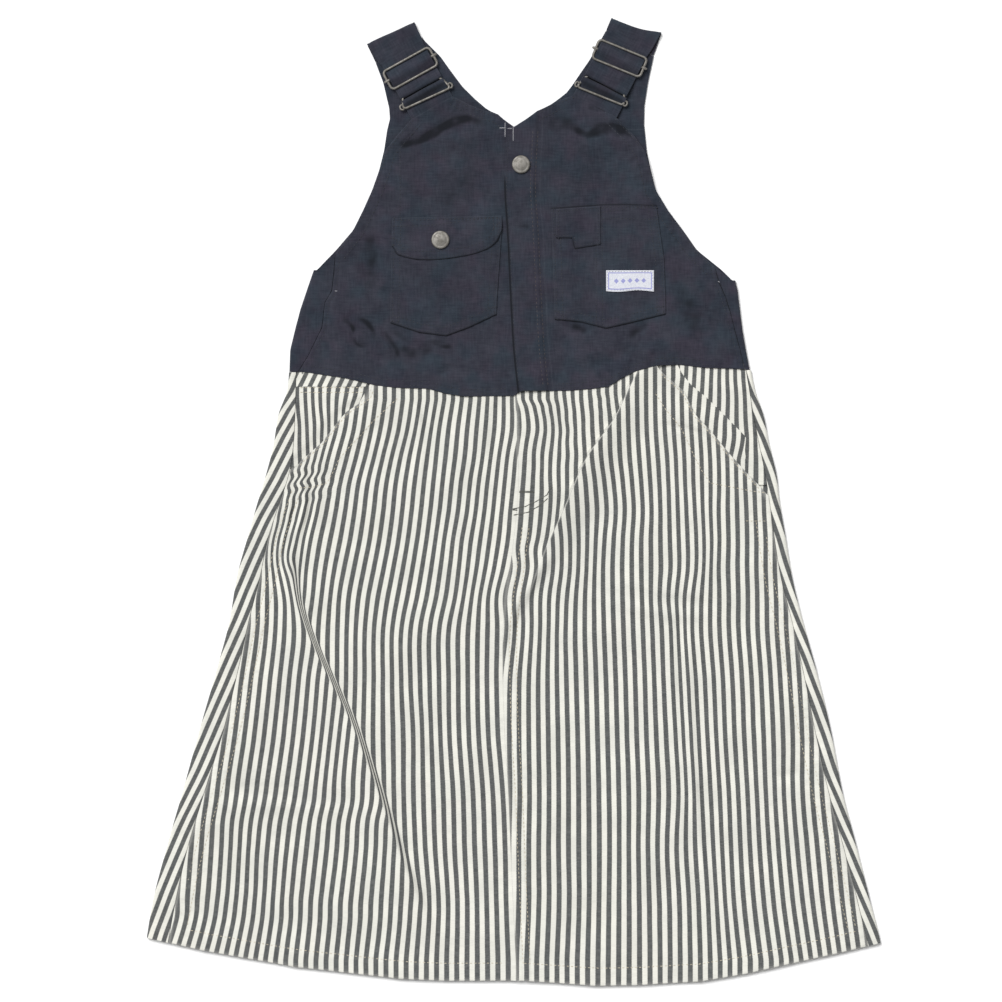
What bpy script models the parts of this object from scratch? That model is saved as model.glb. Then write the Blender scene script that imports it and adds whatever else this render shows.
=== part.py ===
"""A child's pinafore dress of denim and hickory stripe, laid flat with its front up.

Metres, +Z up. The neck points along +Y and the wearer's right side lies along -X. The underside
rests at z = 0, and the origin is under the middle of the garment's outline.

Every piece is a wall of cloth worked out from the tables below: each table's columns are named in
its first line, and each row is one section, one point of an edge, or one stretch of a fold.
"""

from math import cos, pi, radians, sin

import bmesh
import bpy
import numpy as np

# Thicknesses and levels, from the back cloth on the floor up to the snaps on the front.
CLOTH = 0.0012
THIN = 0.0010
GAP = 0.0003
SIDE_RADIUS = 0.0021
BACK_TOP = CLOTH
FACING_FLOOR = BACK_TOP + GAP
FRONT_FLOOR = 2 * SIDE_RADIUS - CLOTH
FRONT_TOP = FRONT_FLOOR + CLOTH
LAP_RISE = GAP + CLOTH
POCKET_RISE = GAP + THIN

# Where the sections lie, as shares of the way from a piece's top edge to its bottom edge.
SKIRT_ROWS = np.concatenate([[0, 0.013], np.linspace(0.035, 1, 22)])
BIB_LAP_ROWS = (0.965, 0.900)
SIDE_SHARES = np.array([0.0, 0.18, 0.42, 0.62, 0.76, 0.88, 1.0])

# The skirt from the waist to the hem: x of the outer edges, the side seams and the front seam.
SKIRT = """y right_edge right_seam centre left_seam left_edge
     0.090 -0.1525 -0.1478  0.0010  0.1580  0.1616
     0.076 -0.1540 -0.1478  0.0012  0.1590  0.1645
     0.060 -0.1598 -0.1478  0.0018  0.1600  0.1700
     0.040 -0.1630 -0.1480  0.0028  0.1640  0.1740
     0.020 -0.1680 -0.1498  0.0036  0.1700  0.1788
     0.000 -0.1740 -0.1555  0.0028  0.1740  0.1812
    -0.025 -0.1812 -0.1612  0.0002  0.1775  0.1855
    -0.050 -0.1880 -0.1692 -0.0030  0.1818  0.1895
    -0.080 -0.1930 -0.1798 -0.0066  0.1893  0.1968
    -0.115 -0.2022 -0.1875 -0.0072  0.1972  0.2064
    -0.155 -0.2136 -0.1972 -0.0060  0.2052  0.2160
    -0.195 -0.2245 -0.2095 -0.0035  0.2140  0.2235
    -0.236 -0.2362 -0.2218 -0.0018  0.2250  0.2340
    -0.270 -0.2450 -0.2295 -0.0003  0.2338  0.2425
    -0.300 -0.2500 -0.2350  0.0012  0.2408  0.2500
    -0.330 -0.2540 -0.2400  0.0025  0.2470  0.2550"""

# The seam between bib and skirt, seen from the front, and the same seam at the back.
WAIST = """x y
    -0.160 0.0888
    -0.142 0.0885
    -0.131 0.0868
    -0.115 0.0845
    -0.104 0.0820
    -0.093 0.0793
    -0.080 0.0778
    -0.058 0.0772
    -0.046 0.0738
    -0.033 0.0718
     0.000 0.0724
     0.006 0.0757
     0.037 0.0758
     0.055 0.0772
     0.065 0.0787
     0.075 0.0850
     0.083 0.0890
     0.097 0.0928
     0.113 0.0935
     0.130 0.0915
     0.165 0.0902"""
BACK_WAIST = """x y
    -0.150 0.0887
     0.160 0.0902"""

HEM = """x y
    -0.2500 -0.2960
    -0.2100 -0.3050
    -0.1790 -0.3105
    -0.1480 -0.3160
    -0.1180 -0.3193
    -0.0770 -0.3240
    -0.0460 -0.3254
     0.0050 -0.3252
     0.0250 -0.3265
     0.0560 -0.3288
     0.0860 -0.3282
     0.1270 -0.3258
     0.1580 -0.3206
     0.1880 -0.3138
     0.2190 -0.3070
     0.2500 -0.2995"""

# The slash pockets' opening edges, which cut the top outer corners off the skirt's front panels.
RIGHT_POCKET = """y x
    0.0820 -0.0950
    0.0717 -0.0985
    0.0615 -0.1138
    0.0520 -0.1219
    0.0411 -0.1300
    0.0357 -0.1362
    0.0286 -0.1444
    0.0241 -0.1475"""
LEFT_POCKET = """y x
    0.0930 0.0975
    0.0881 0.1018
    0.0758 0.1161
    0.0595 0.1242
    0.0479 0.1351
    0.0357 0.1450
    0.0214 0.1576
    0.0133 0.1657
    0.0051 0.1730"""
# How far an opening edge runs out for each metre below its foot.
MOUTH_END = 10.0

# The two large folds of the front. Each line is its crest, with its height above the flat cloth
# and its reach to the gentle side; the other side falls off steeply.
STEEP_REACH = 0.0055
FOLD_COLUMNS = np.array([-0.0055, -0.0036, -0.0022, -0.0008, 0.0008, 0.0025])
HIP_FOLD = """y x height reach
     0.090 -0.0880 0.0000 0.008
     0.060 -0.1060 0.0000 0.008
     0.030 -0.1300 0.0000 0.008
     0.000 -0.1450 0.0000 0.008
    -0.020 -0.1500 0.0000 0.008
    -0.040 -0.1515 0.0020 0.012
    -0.066 -0.1470 0.0035 0.018
    -0.092 -0.1355 0.0045 0.024
    -0.124 -0.1199 0.0050 0.028
    -0.147 -0.1097 0.0050 0.028
    -0.185 -0.0968 0.0055 0.030
    -0.219 -0.0845 0.0050 0.030
    -0.247 -0.0750 0.0042 0.030
    -0.274 -0.0640 0.0025 0.030
    -0.300 -0.0560 0.0006 0.030
    -0.330 -0.0500 0.0000 0.030"""
WAIST_FOLD = """y x height reach
     0.262  0.0430 0.0000 0.020
     0.200  0.0700 0.0000 0.020
     0.150  0.0930 0.0000 0.020
     0.130  0.0985 0.0000 0.020
     0.105  0.0920 0.0024 0.020
     0.078  0.0790 0.0045 0.024
     0.057  0.0685 0.0055 0.028
     0.032  0.0508 0.0055 0.030
     0.000  0.0365 0.0045 0.030
    -0.047  0.0161 0.0022 0.024
    -0.073  0.0085 0.0006 0.020
    -0.095  0.0060 0.0000 0.020
    -0.200  0.0080 0.0000 0.020
    -0.330  0.0120 0.0000 0.020"""

# The bib: its folded side edges, the side seams in front and the open armholes above them.
BIB_SIDES = """y right_edge left_edge
    0.085 -0.1525 0.1618
    0.104 -0.1518 0.1582
    0.118 -0.1484 0.1558
    0.131 -0.1450 0.1542
    0.145 -0.1403 0.1525
    0.158 -0.1358 0.1490"""
BIB_RIGHT = """y x
    0.0887 -0.1466
    0.1000 -0.1395
    0.1190 -0.1302
    0.1360 -0.1283
    0.1440 -0.1235
    0.1550 -0.1223
    0.1700 -0.1210
    0.1853 -0.1090
    0.1989 -0.1022
    0.2125 -0.0961
    0.2261 -0.0913
    0.2397 -0.0870
    0.2500 -0.0790
    0.2608 -0.0693"""
BIB_LEFT = """y x
    0.0902 0.1575
    0.1040 0.1542
    0.1200 0.1500
    0.1300 0.1475
    0.1400 0.1443
    0.1500 0.1400
    0.1600 0.1370
    0.1717 0.1245
    0.1853 0.1150
    0.1989 0.1050
    0.2125 0.0968
    0.2261 0.0934
    0.2383 0.0900
    0.2500 0.0820
    0.2623 0.0697"""
RIGHT_SHOULDER = """y armhole
    0.1580 -0.1337
    0.1620 -0.1300
    0.1717 -0.1206
    0.1853 -0.1090
    0.1989 -0.1022
    0.2125 -0.0961
    0.2261 -0.0913
    0.2397 -0.0879
    0.2533 -0.0859
    0.2610 -0.0840
    0.2683 -0.0845
    0.2859 -0.0886
    0.3118 -0.0985"""
LEFT_SHOULDER = """y armhole
    0.1510 0.1490
    0.1581 0.1419
    0.1717 0.1249
    0.1853 0.1154
    0.1989 0.1052
    0.2125 0.0970
    0.2261 0.0936
    0.2383 0.0909
    0.2574 0.0889
    0.2703 0.0892
    0.2859 0.0916
    0.3050 0.0957
    0.3199 0.0991"""
RIGHT_NECK = """y x
    0.2535  0.0000
    0.2553 -0.0022
    0.2594 -0.0056
    0.2642 -0.0104
    0.2669 -0.0172
    0.2744 -0.0260
    0.2832 -0.0349
    0.2941 -0.0430
    0.3036 -0.0498
    0.3145 -0.0607
    0.3259 -0.0680"""
LEFT_NECK = """y x
    0.2535 0.0000
    0.2560 0.0018
    0.2608 0.0086
    0.2669 0.0168
    0.2696 0.0236
    0.2737 0.0297
    0.2791 0.0365
    0.2846 0.0406
    0.2907 0.0447
    0.3016 0.0522
    0.3138 0.0590
    0.3261 0.0658"""

# Where the armholes meet the folded sides behind, and the height at which the back neck starts.
BACK_CORNERS = """x y
    -0.1337 0.1580
     0.1490 0.1510"""
NECK_LEVEL = 0.2535

# Top edges of the bib's front pieces: neck curves and, past their corners, the tab seams.
BIB_TOP_RIGHT = """x y
    -0.0693 0.2608
    -0.0413 0.2764
    -0.0300 0.2705
    -0.0205 0.2667
    -0.0104 0.2634
    -0.0056 0.2586
    -0.0030 0.2545
     0.0300 0.2525"""
BIB_TOP_LEFT = """x y
    -0.0045 0.2547
     0.0018 0.2558
     0.0086 0.2606
     0.0168 0.2664
     0.0236 0.2694
     0.0297 0.2728
     0.0413 0.2771
     0.0697 0.2623"""

# The bib's lower edge laps over the skirt's panels between these two places.
WAIST_LAP = 0.0040
LAP_FROM, LAP_TO = -0.0980, 0.1060
LAP_FADE = 0.0100

# The edge of the placket band, and the band's width; the right half runs on under it.
PLACKET = """y x
    0.2547 -0.0045
    0.2125 -0.0062
    0.1853 -0.0045
    0.1377 -0.0022
    0.1037 -0.0002
    0.0700  0.0034"""
PLACKET_WIDTH = 0.0243
UNDERLAP = 0.0160
BAND_FLAT, BAND_FALL = 0.0185, 0.0050

# Chest pockets: side edges by height, top and bottom edges by width.
RIGHT_CHEST_SIDES = """y outer inner
    0.2000 -0.0825 -0.0078
    0.1860 -0.0825 -0.0078
    0.1375 -0.0836 -0.0112
    0.1100 -0.0838 -0.0121"""
RIGHT_CHEST_FOOT = """x y
    -0.0838 0.1221
    -0.0640 0.1155
    -0.0458 0.1132
    -0.0300 0.1190
    -0.0121 0.1275"""
FLAP_TOP = """x y
    -0.0818 0.1935
    -0.0080 0.1950"""
FLAP_FOOT = """x y
    -0.0818 0.1738
    -0.0805 0.1705
    -0.0760 0.1675
    -0.0689 0.1656
    -0.0546 0.1649
    -0.0369 0.1669
    -0.0226 0.1703
    -0.0145 0.1744
    -0.0100 0.1795
    -0.0080 0.1845"""
RIGHT_CHEST_TOP = 0.1868
FLAP_STEP, FLAP_CLEAR = 0.0045, 0.0015
LEFT_CHEST_SIDES = """y inner outer
    0.2030 0.0256 0.0970
    0.1650 0.0268 0.1025
    0.1180 0.0284 0.1040"""
LEFT_CHEST_TOP = """x y
    0.0256 0.2003
    0.0600 0.2028
    0.0780 0.2030
    0.0970 0.2023"""
LEFT_CHEST_FOOT = """x y
    0.0284 0.1244
    0.0456 0.1227
    0.0630 0.1183
    0.0800 0.1222
    0.1040 0.1282"""
PEN_BAND_SIDES = """y inner outer
    0.2000 0.0290 0.0592
    0.1700 0.0290 0.0592"""
PEN_BAND_INSET = 0.0012
PEN_BAND_FOOT = """x y
    0.0290 0.1798
    0.0400 0.1796
    0.0412 0.1722
    0.0592 0.1752"""
LABEL_CENTRE = (0.0793, 0.1507)
LABEL_SIZE = (0.0326, 0.0142)

# The facings of the slash pockets: how far they run on under the panels' edges, how far outside
# the edge they start to rise, the length of the slope, and the height of their lower edge.
FACING_UNDER, FACING_CLEAR, FACING_SLOPE, FACING_FOOT = 0.012, 0.002, 0.010, 0.012

# Straps: the middle of the fold at the shoulder, the lean of the strap from the vertical, the skew
# of the fold, and how far along the slider's middle bar and the loop's lowest bar lie.
STRAPS = {
    "right": dict(fold=(-0.0832, 0.3189), lean=29.0, skew=0.072, slider=0.0271, loop=0.0506),
    "left": dict(fold=(0.0834, 0.3240), lean=-27.0, skew=-0.194, slider=0.0246, loop=0.0535),
}
STRAP_HALF = 0.0168
STRAP_HALF_IN_SLIDER = 0.0147
NARROWING_START, NARROWING = 0.0090, 0.0060
STRAP_LEAD = 0.0040
UNDER_STRAP = 0.0120
TAB_SEAM = 0.0069
TAB_UNDER = 0.0120
WIRE = 0.00085
SLIDER_HALF_LENGTH = 0.0069
SLIDER_HALF_WIDTH = 0.0167
SLIDER_LEVEL = 0.0050
LOOP_PITCH = 0.0049
LOOP_HALF_WIDTH = 0.0162
LOOP_LOW, LOOP_HIGH = 0.0037, 0.0051
BUCKLE_CORNER = 0.0018
NUB_REACH = 0.0018

SNAP_SIDES = 20
SNAP_PROFILE = """radius height
    0.0000 0.0020
    0.0034 0.0019
    0.0044 0.0015
    0.0052 0.0017
    0.0059 0.0013
    0.0062 0.0007
    0.0060 0.0000
    0.0000 0.0000"""
NECK_SNAP = (0.0052, 0.2298)
FLAP_SNAP = (-0.0496, 0.1785)


def columns_of(text):
    """The named columns of a table, as arrays."""
    head, *rows = text.splitlines()
    return dict(zip(head.split(), np.array([row.split() for row in rows], float).T))


def straight(text, value, along="y"):
    """A function that reads a column along straight lines between the rows."""
    rows = columns_of(text)
    order = np.argsort(rows[along])
    return lambda at: np.interp(at, rows[along][order], rows[value][order])


def curve(text, value, along="y"):
    """A function that reads a column along a smooth curve through the rows (cubic Hermite)."""
    rows = columns_of(text)
    order = np.argsort(rows[along])
    knots, values = rows[along][order], rows[value][order]
    slopes = np.gradient(values, knots)

    def read(at):
        at = np.clip(at, knots[0], knots[-1])
        i = np.clip(np.searchsorted(knots, at) - 1, 0, len(knots) - 2)
        step = knots[i + 1] - knots[i]
        t = (at - knots[i]) / step
        start = (1 + 2 * t) * (1 - t) ** 2 * values[i] + t * (1 - t) ** 2 * step * slopes[i]
        end = t**2 * (3 - 2 * t) * values[i + 1] - t**2 * (1 - t) * step * slopes[i + 1]
        return start + end

    return read


def ease(t):
    """From 0 to 1 with level ends."""
    t = np.clip(t, 0, 1)
    return t * t * (3 - 2 * t)


# ---- The front's relief ----

hip_line, hip_height, hip_reach = (curve(HIP_FOLD, name) for name in ("x", "height", "reach"))
lap_line, lap_height, lap_reach = (curve(WAIST_FOLD, name) for name in ("x", "height", "reach"))


def front_top(x, y):
    """Outer face of the front: level, with the hip fold and the fold that laps at the waist."""
    hip = x - hip_line(y)
    hip_side = np.where(hip < 0, hip_reach(y), STEEP_REACH)
    lap = x - lap_line(y)
    lap_side = np.where(lap > 0, lap_reach(y), STEEP_REACH)
    hip_lift = np.maximum(hip_height(y), 0) * ease(1 - np.abs(hip) / hip_side)
    lap_lift = np.maximum(lap_height(y), 0) * ease(1 - np.abs(lap) / lap_side)
    return FRONT_TOP + hip_lift + lap_lift


def bib_top(x, y):
    """Outer face of the bib's halves: the front's, lifted where the lower edge laps the skirt."""
    over_skirt = ease((x - LAP_FROM) / LAP_FADE + 1) * ease((LAP_TO - x) / LAP_FADE + 1)
    near_seam = ease((waist(x) + WAIST_LAP + 1.5 * LAP_FADE - y) / LAP_FADE)
    return front_top(x, y) + LAP_RISE * over_skirt * near_seam


def band_top(x, y):
    """Outer face of the placket band: over the right half's underlap, then down to the left half."""
    return bib_top(x, y) + LAP_RISE * ease(1 - (x - placket_edge(y) - BAND_FLAT) / BAND_FALL)


def square_wall(x, y, height):
    """Both faces of a wall from the height of its outer face; the inner face lies a cloth's
    thickness in, square to the outer one, and never below the front's own floor."""
    step = 0.0005
    along_x = (height(x + step, y) - height(x - step, y)) / (2 * step)
    along_y = (height(x, y + step) - height(x, y - step)) / (2 * step)
    top = height(x, y)
    thickness = CLOTH * np.sqrt(1 + along_x**2 + along_y**2)
    return lifted(x, y, top, np.maximum(top - thickness, FRONT_FLOOR))


# ---- Making pieces ----


def material(name, colour, roughness, metallic=0.0):
    made = bpy.data.materials.new(name)
    made.use_nodes = True
    shader = made.node_tree.nodes["Principled BSDF"]
    shader.inputs["Base Color"].default_value = (*colour, 1)
    shader.inputs["Roughness"].default_value = roughness
    shader.inputs["Metallic"].default_value = metallic
    made.diffuse_color = (*colour, 1)
    return made


def add(name, points, faces, surface, smooth=True):
    """One closed body from its points and faces, with its faces turned outwards."""
    mesh = bpy.data.meshes.new(name)
    mesh.from_pydata([tuple(p) for p in points.tolist()], [], [tuple(f) for f in faces])
    bm = bmesh.new()
    bm.from_mesh(mesh)
    bmesh.ops.recalc_face_normals(bm, faces=bm.faces)
    bm.to_mesh(mesh)
    bm.free()
    mesh.materials.append(surface)
    if smooth:
        mesh.shade_smooth()
        mesh.set_sharp_from_angle(angle=radians(40))
    made = bpy.data.objects.new(name, mesh)
    made.parent = garment
    bpy.context.scene.collection.objects.link(made)
    return made


def cloth(name, patches, surface):
    """A wall of cloth. Each patch is a pair of grids, the outer and the inner face; patches are
    sewn where their outer points meet, and a rim closes every edge that is left free."""
    outer = np.concatenate([face.reshape(-1, 3) for face, _ in patches])
    inner = np.concatenate([face.reshape(-1, 3) for _, face in patches])
    quads, start = [], 0
    for face, _ in patches:
        rows, across = face.shape[:2]
        index = start + np.arange(rows * across).reshape(rows, across)
        corners = (index[:-1, :-1], index[:-1, 1:], index[1:, 1:], index[1:, :-1])
        quads.append(np.stack(corners, axis=-1).reshape(-1, 4))
        start += rows * across
    _, first, sewn = np.unique(
        np.round(outer, 6), axis=0, return_index=True, return_inverse=True
    )
    quads = sewn.reshape(-1)[np.concatenate(quads)]
    outer, inner = outer[first], inner[first]
    edges = np.stack([quads, np.roll(quads, -1, axis=1)], axis=-1).reshape(-1, 2)
    _, index, count = np.unique(
        np.sort(edges, axis=1), axis=0, return_inverse=True, return_counts=True
    )
    free = edges[count[index.reshape(-1)] == 1]
    below = len(outer)
    rim = np.stack([free[:, 1], free[:, 0], free[:, 0] + below, free[:, 1] + below], axis=-1)
    faces = np.concatenate([quads, quads[:, ::-1] + below, rim])
    return add(name, np.concatenate([outer, inner]), faces.tolist(), surface)


def spread(left, right, count):
    """Columns at even shares of the way from the edge left(y) to the edge right(y)."""
    share = np.linspace(0, 1, count)
    return lambda y: left(y) * (1 - share) + right(y) * share


def gather(left, line, right, before, steps, after):
    """Columns that follow a line: even ones up to it, some at close steps over it, even ones on."""
    up, on = np.linspace(0, 1, before + 1)[:-1], np.linspace(0, 1, after + 1)[1:]
    none = np.zeros(len(steps))
    from_left = np.concatenate([1 - up, none, 0 * on])
    from_line = np.concatenate([up, none + 1, 1 - on])
    from_right = np.concatenate([0 * up, none, on])
    shift = np.concatenate([up * steps[0], steps, (1 - on) * steps[-1]])
    return lambda y: left(y) * from_left + line(y) * from_line + right(y) * from_right + shift


def patch(columns, top, bottom, rows):
    """Grid of x and y: x on the columns, y at shares of the way from top(x) to bottom(x). Each
    depends on the other, so the two are worked out in turns until they settle."""
    share = np.asarray(rows)[:, None]
    y = np.full((len(share), 1), float(np.mean(top(0.0) + bottom(0.0)) / 2))
    for _ in range(60):
        x = columns(y)
        y = top(x) * (1 - share) + bottom(x) * share
    return x, y


def lifted(x, y, outer, inner):
    """The outer and inner faces of a grid from their heights."""
    x, y = np.broadcast_arrays(x, y)
    return (
        np.stack([x, y, np.broadcast_to(outer, x.shape)], axis=-1),
        np.stack([x, y, np.broadcast_to(inner, x.shape)], axis=-1),
    )


def shifted(line, by):
    """A line moved sideways."""
    return lambda at: line(at) + by


def level_at(height):
    """A line at one height."""
    return lambda x: np.full_like(x, height)


def side_section(radius, steps=6):
    """The fold of the cloth round a side: x and z from the top of the bend to its foot, with x
    measured outwards from the middle of the bend."""
    turn = np.linspace(pi / 2, -pi / 2, steps + 1)
    return radius * np.cos(turn), SIDE_RADIUS + radius * np.sin(turn)


# ---- Skirt ----

skirt = {name: curve(SKIRT, name) for name in SKIRT.split("\n")[0].split()[1:]}
waist, hem = straight(WAIST, "y", "x"), straight(HEM, "y", "x")
back_waist = straight(BACK_WAIST, "y", "x")
right_pocket, left_pocket = straight(RIGHT_POCKET, "x"), straight(LEFT_POCKET, "x")


def past_foot(table, outwards):
    """A pocket's opening edge, which runs out past the side seam below the table's last row."""
    opening, foot = straight(table, "x"), columns_of(table)["y"][-1]
    return lambda y: opening(y) + outwards * MOUTH_END * np.maximum(foot - y, 0)


right_mouth, left_mouth = past_foot(RIGHT_POCKET, -1), past_foot(LEFT_POCKET, 1)


def skirt_back(surface):
    """One wall: flat behind, round both sides, and up to the side seams in front."""
    bend_out, bend_z = side_section(SIDE_RADIUS)
    inside_out, inside_z = side_section(SIDE_RADIUS - CLOTH)
    flat = np.linspace(0, 1, 6)[1:-1]
    bend = np.zeros(len(bend_out))
    at_right_seam = np.concatenate([[1], bend, 0 * flat, bend, [0]])
    at_right = np.concatenate([[0], bend + 1, 1 - flat, bend, [0]])
    at_left, at_left_seam = at_right[::-1], at_right_seam[::-1]

    def section(out):
        shift = np.concatenate([[-GAP / 2], -out, 0 * flat, out[::-1], [GAP / 2]])
        return lambda y: (
            skirt["right_seam"](y) * at_right_seam
            + (skirt["right_edge"](y) + SIDE_RADIUS) * at_right
            + (skirt["left_edge"](y) - SIDE_RADIUS) * at_left
            + skirt["left_seam"](y) * at_left_seam
            + shift
        )

    x, y = patch(section(bend_out), shifted(back_waist, -GAP / 2), hem, SKIRT_ROWS)
    outer_z = np.concatenate([[FRONT_TOP], bend_z, 0 * flat, bend_z[::-1], [FRONT_TOP]])
    inner_z = np.concatenate(
        [[FRONT_FLOOR], inside_z, CLOTH + 0 * flat, inside_z[::-1], [FRONT_FLOOR]]
    )
    outer, _ = lifted(x, y, outer_z, 0)
    inner, _ = lifted(section(inside_out)(y), y, inner_z, 0)
    cloth("skirt_back", [(outer, inner)], surface)


def skirt_fronts(surface):
    """The two front panels, cut away along the pocket openings, with columns along the folds."""
    top = shifted(waist, WAIST_LAP)

    def right_side(y):
        return np.maximum(skirt["right_seam"](y), right_mouth(y)) + GAP / 2

    def left_side(y):
        return np.minimum(skirt["left_seam"](y), left_mouth(y)) - GAP / 2

    seam_right, seam_left = shifted(skirt["centre"], -GAP / 2), shifted(skirt["centre"], GAP / 2)
    hip_steps = -FOLD_COLUMNS[::-1]
    for name, columns in (
        ("skirt_front_right", gather(right_side, hip_line, seam_right, 5, hip_steps, 9)),
        ("skirt_front_left", gather(seam_left, lap_line, left_side, 5, FOLD_COLUMNS, 9)),
    ):
        x, y = patch(columns, top, hem, SKIRT_ROWS)
        cloth(name, [square_wall(x, y, front_top)], surface)


def hip_facings(surface):
    """The pocket pieces in the openings. They lie under the panels' cut edges and under the bib,
    and rise from there to the side seams."""
    top = shifted(waist, WAIST_LAP)
    sides = (
        ("right", 1, shifted(skirt["right_seam"], GAP / 2), right_pocket, right_mouth),
        ("left", -1, shifted(skirt["left_seam"], -GAP / 2), left_pocket, left_mouth),
    )
    for side, inward, seam, opening, mouth in sides:
        columns = spread(seam, shifted(opening, inward * FACING_UNDER), 9)
        x, y = patch(columns, top, level_at(FACING_FOOT), np.linspace(0, 1, 10))
        outside = inward * (mouth(y) - x) - FACING_CLEAR
        below = waist(x) - FACING_SLOPE / 2 - y
        rise = (FRONT_FLOOR - FACING_FLOOR) * ease(outside / FACING_SLOPE) * ease(below / FACING_SLOPE)
        inner = FACING_FLOOR + rise
        cloth(f"hip_facing_{side}", [lifted(x, y, inner + CLOTH, inner)], surface)


# ---- Bib ----

placket_edge = curve(PLACKET, "x")
neck_right, neck_left = straight(RIGHT_NECK, "x"), straight(LEFT_NECK, "x")
armhole_right = straight(RIGHT_SHOULDER, "armhole")
armhole_left = straight(LEFT_SHOULDER, "armhole")
bib_side = {name: straight(BIB_SIDES, name) for name in ("right_edge", "left_edge")}


def bib_back(surface):
    """One wall: flat behind up to the neck, two shoulders, and a fold round each side that ends at
    the side seam in front."""
    halves = 5
    share = np.linspace(0, 1, halves + 1)
    corner = straight(BACK_CORNERS, "y", "x")
    right_corner, left_corner = columns_of(BACK_CORNERS)["y"]

    def right(y):
        side = bib_side["right_edge"](y) + SIDE_RADIUS
        return np.where(y > right_corner, armhole_right(y), side)

    def left(y):
        side = bib_side["left_edge"](y) - SIDE_RADIUS
        return np.where(y > left_corner, armhole_left(y), side)

    def columns(y):
        y = np.broadcast_to(y, (y.shape[0], 2 * halves + 1))
        from_right = right(y[:, : halves + 1]) * (1 - share)
        return np.concatenate([from_right, left(y[:, halves + 1 :]) * share[1:]], axis=1)

    x, y = patch(columns, shifted(back_waist, GAP / 2), corner, SIDE_SHARES)
    patches = [
        lifted(x, y, 0, CLOTH),
        lifted(*patch(columns, corner, level_at(NECK_LEVEL), np.linspace(0, 1, 9)), 0, CLOTH),
    ]
    bend_out, bend_z = side_section(SIDE_RADIUS)
    inside_out, inside_z = side_section(SIDE_RADIUS - CLOTH)
    for sign, column, seam in ((-1, 0, BIB_RIGHT), (1, -1, BIB_LEFT)):
        foot_x, foot_y = x[:, [column]], y[:, [column]]
        seam = columns_of(seam)
        seam_x = seam["x"][: len(SIDE_SHARES), None] + sign * GAP / 2
        seam_y = seam["y"][: len(SIDE_SHARES), None] + GAP / 2 * (SIDE_SHARES[:, None] == 0)
        outer_x = np.concatenate([seam_x, foot_x + sign * bend_out], axis=1)
        inner_x = np.concatenate([seam_x, foot_x + sign * inside_out], axis=1)
        rows_y = np.concatenate([seam_y, np.broadcast_to(foot_y, outer_x[:, 1:].shape)], axis=1)
        outer, _ = lifted(outer_x, rows_y, np.concatenate([[FRONT_TOP], bend_z]), 0)
        inner, _ = lifted(inner_x, rows_y, np.concatenate([[FRONT_FLOOR], inside_z]), 0)
        patches.append((outer, inner))
    for side, start, stop in (
        ("right", armhole_right, neck_right),
        ("left", neck_left, armhole_left),
    ):
        seam = strap_line(side, UNDER_STRAP + GAP)
        columns = spread(start, stop, halves + 1)
        x, y = patch(columns, level_at(NECK_LEVEL), seam, np.linspace(0, 1, 9))
        patches.append(lifted(x, y, 0, CLOTH))
    cloth("bib_back", patches, surface)


def strap_line(side, along):
    """The line square across a strap, at a distance along it from the shoulder fold: y of x."""
    middle_x, middle_y = strap_point(side, along, 0)
    slope = np.tan(radians(STRAPS[side]["lean"]))
    return lambda x: middle_y + (x - middle_x) * slope


def strap_point(side, along, across):
    """x and y of a point on a strap, from its distance along the strap from the shoulder fold and
    across it from its middle. The fold is skewed, and the skew has faded out where the shoulder ends."""
    lean = radians(STRAPS[side]["lean"])
    x, y = STRAPS[side]["fold"]
    along = along + across * STRAPS[side]["skew"] * np.clip(1 - along / UNDER_STRAP, 0, 1)
    return (
        x + along * sin(lean) + across * cos(lean),
        y - along * cos(lean) + across * sin(lean),
    )


def bib_fronts(surface):
    """The right half runs on under the placket band, and the left half starts at its far edge.
    Their rows meet the rows of the side seams' tables, so that the seams stay parallel."""
    low_waist = shifted(waist, GAP / 2)

    def rows_of(side):
        edge = columns_of(side)
        top = edge["y"].max()
        share = np.clip((top - edge["y"]) / (top - low_waist(edge["x"])), 0, 1)
        return np.sort(np.append(share, BIB_LAP_ROWS))

    right_side = shifted(straight(BIB_RIGHT, "x"), GAP / 2)
    left_side = shifted(straight(BIB_LEFT, "x"), -GAP / 2)
    underlap = shifted(placket_edge, UNDERLAP)
    band_edge = shifted(placket_edge, PLACKET_WIDTH)
    over_band = np.array([0, BAND_FLAT / 2, BAND_FLAT, BAND_FLAT + BAND_FALL / 2])
    near_fold = np.append(FOLD_COLUMNS, [0.0085, 0.0140, 0.0200])
    to_underlap = gather(right_side, placket_edge, underlap, 6, over_band[:1], 1)
    across_band = gather(placket_edge, placket_edge, band_edge, 0, over_band, 1)
    to_left_side = gather(shifted(band_edge, GAP), lap_line, left_side, 3, near_fold, 3)
    right_top, left_top = straight(BIB_TOP_RIGHT, "y", "x"), straight(BIB_TOP_LEFT, "y", "x")
    for name, columns, top, side, height in (
        ("bib_front_right", to_underlap, right_top, BIB_RIGHT, bib_top),
        ("front_placket", across_band, left_top, BIB_LEFT, band_top),
        ("bib_front_left", to_left_side, left_top, BIB_LEFT, bib_top),
    ):
        x, y = patch(columns, top, low_waist, rows_of(side))
        outer = height(x, y)
        cloth(name, [lifted(x, y, outer, outer - CLOTH)], surface)


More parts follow.
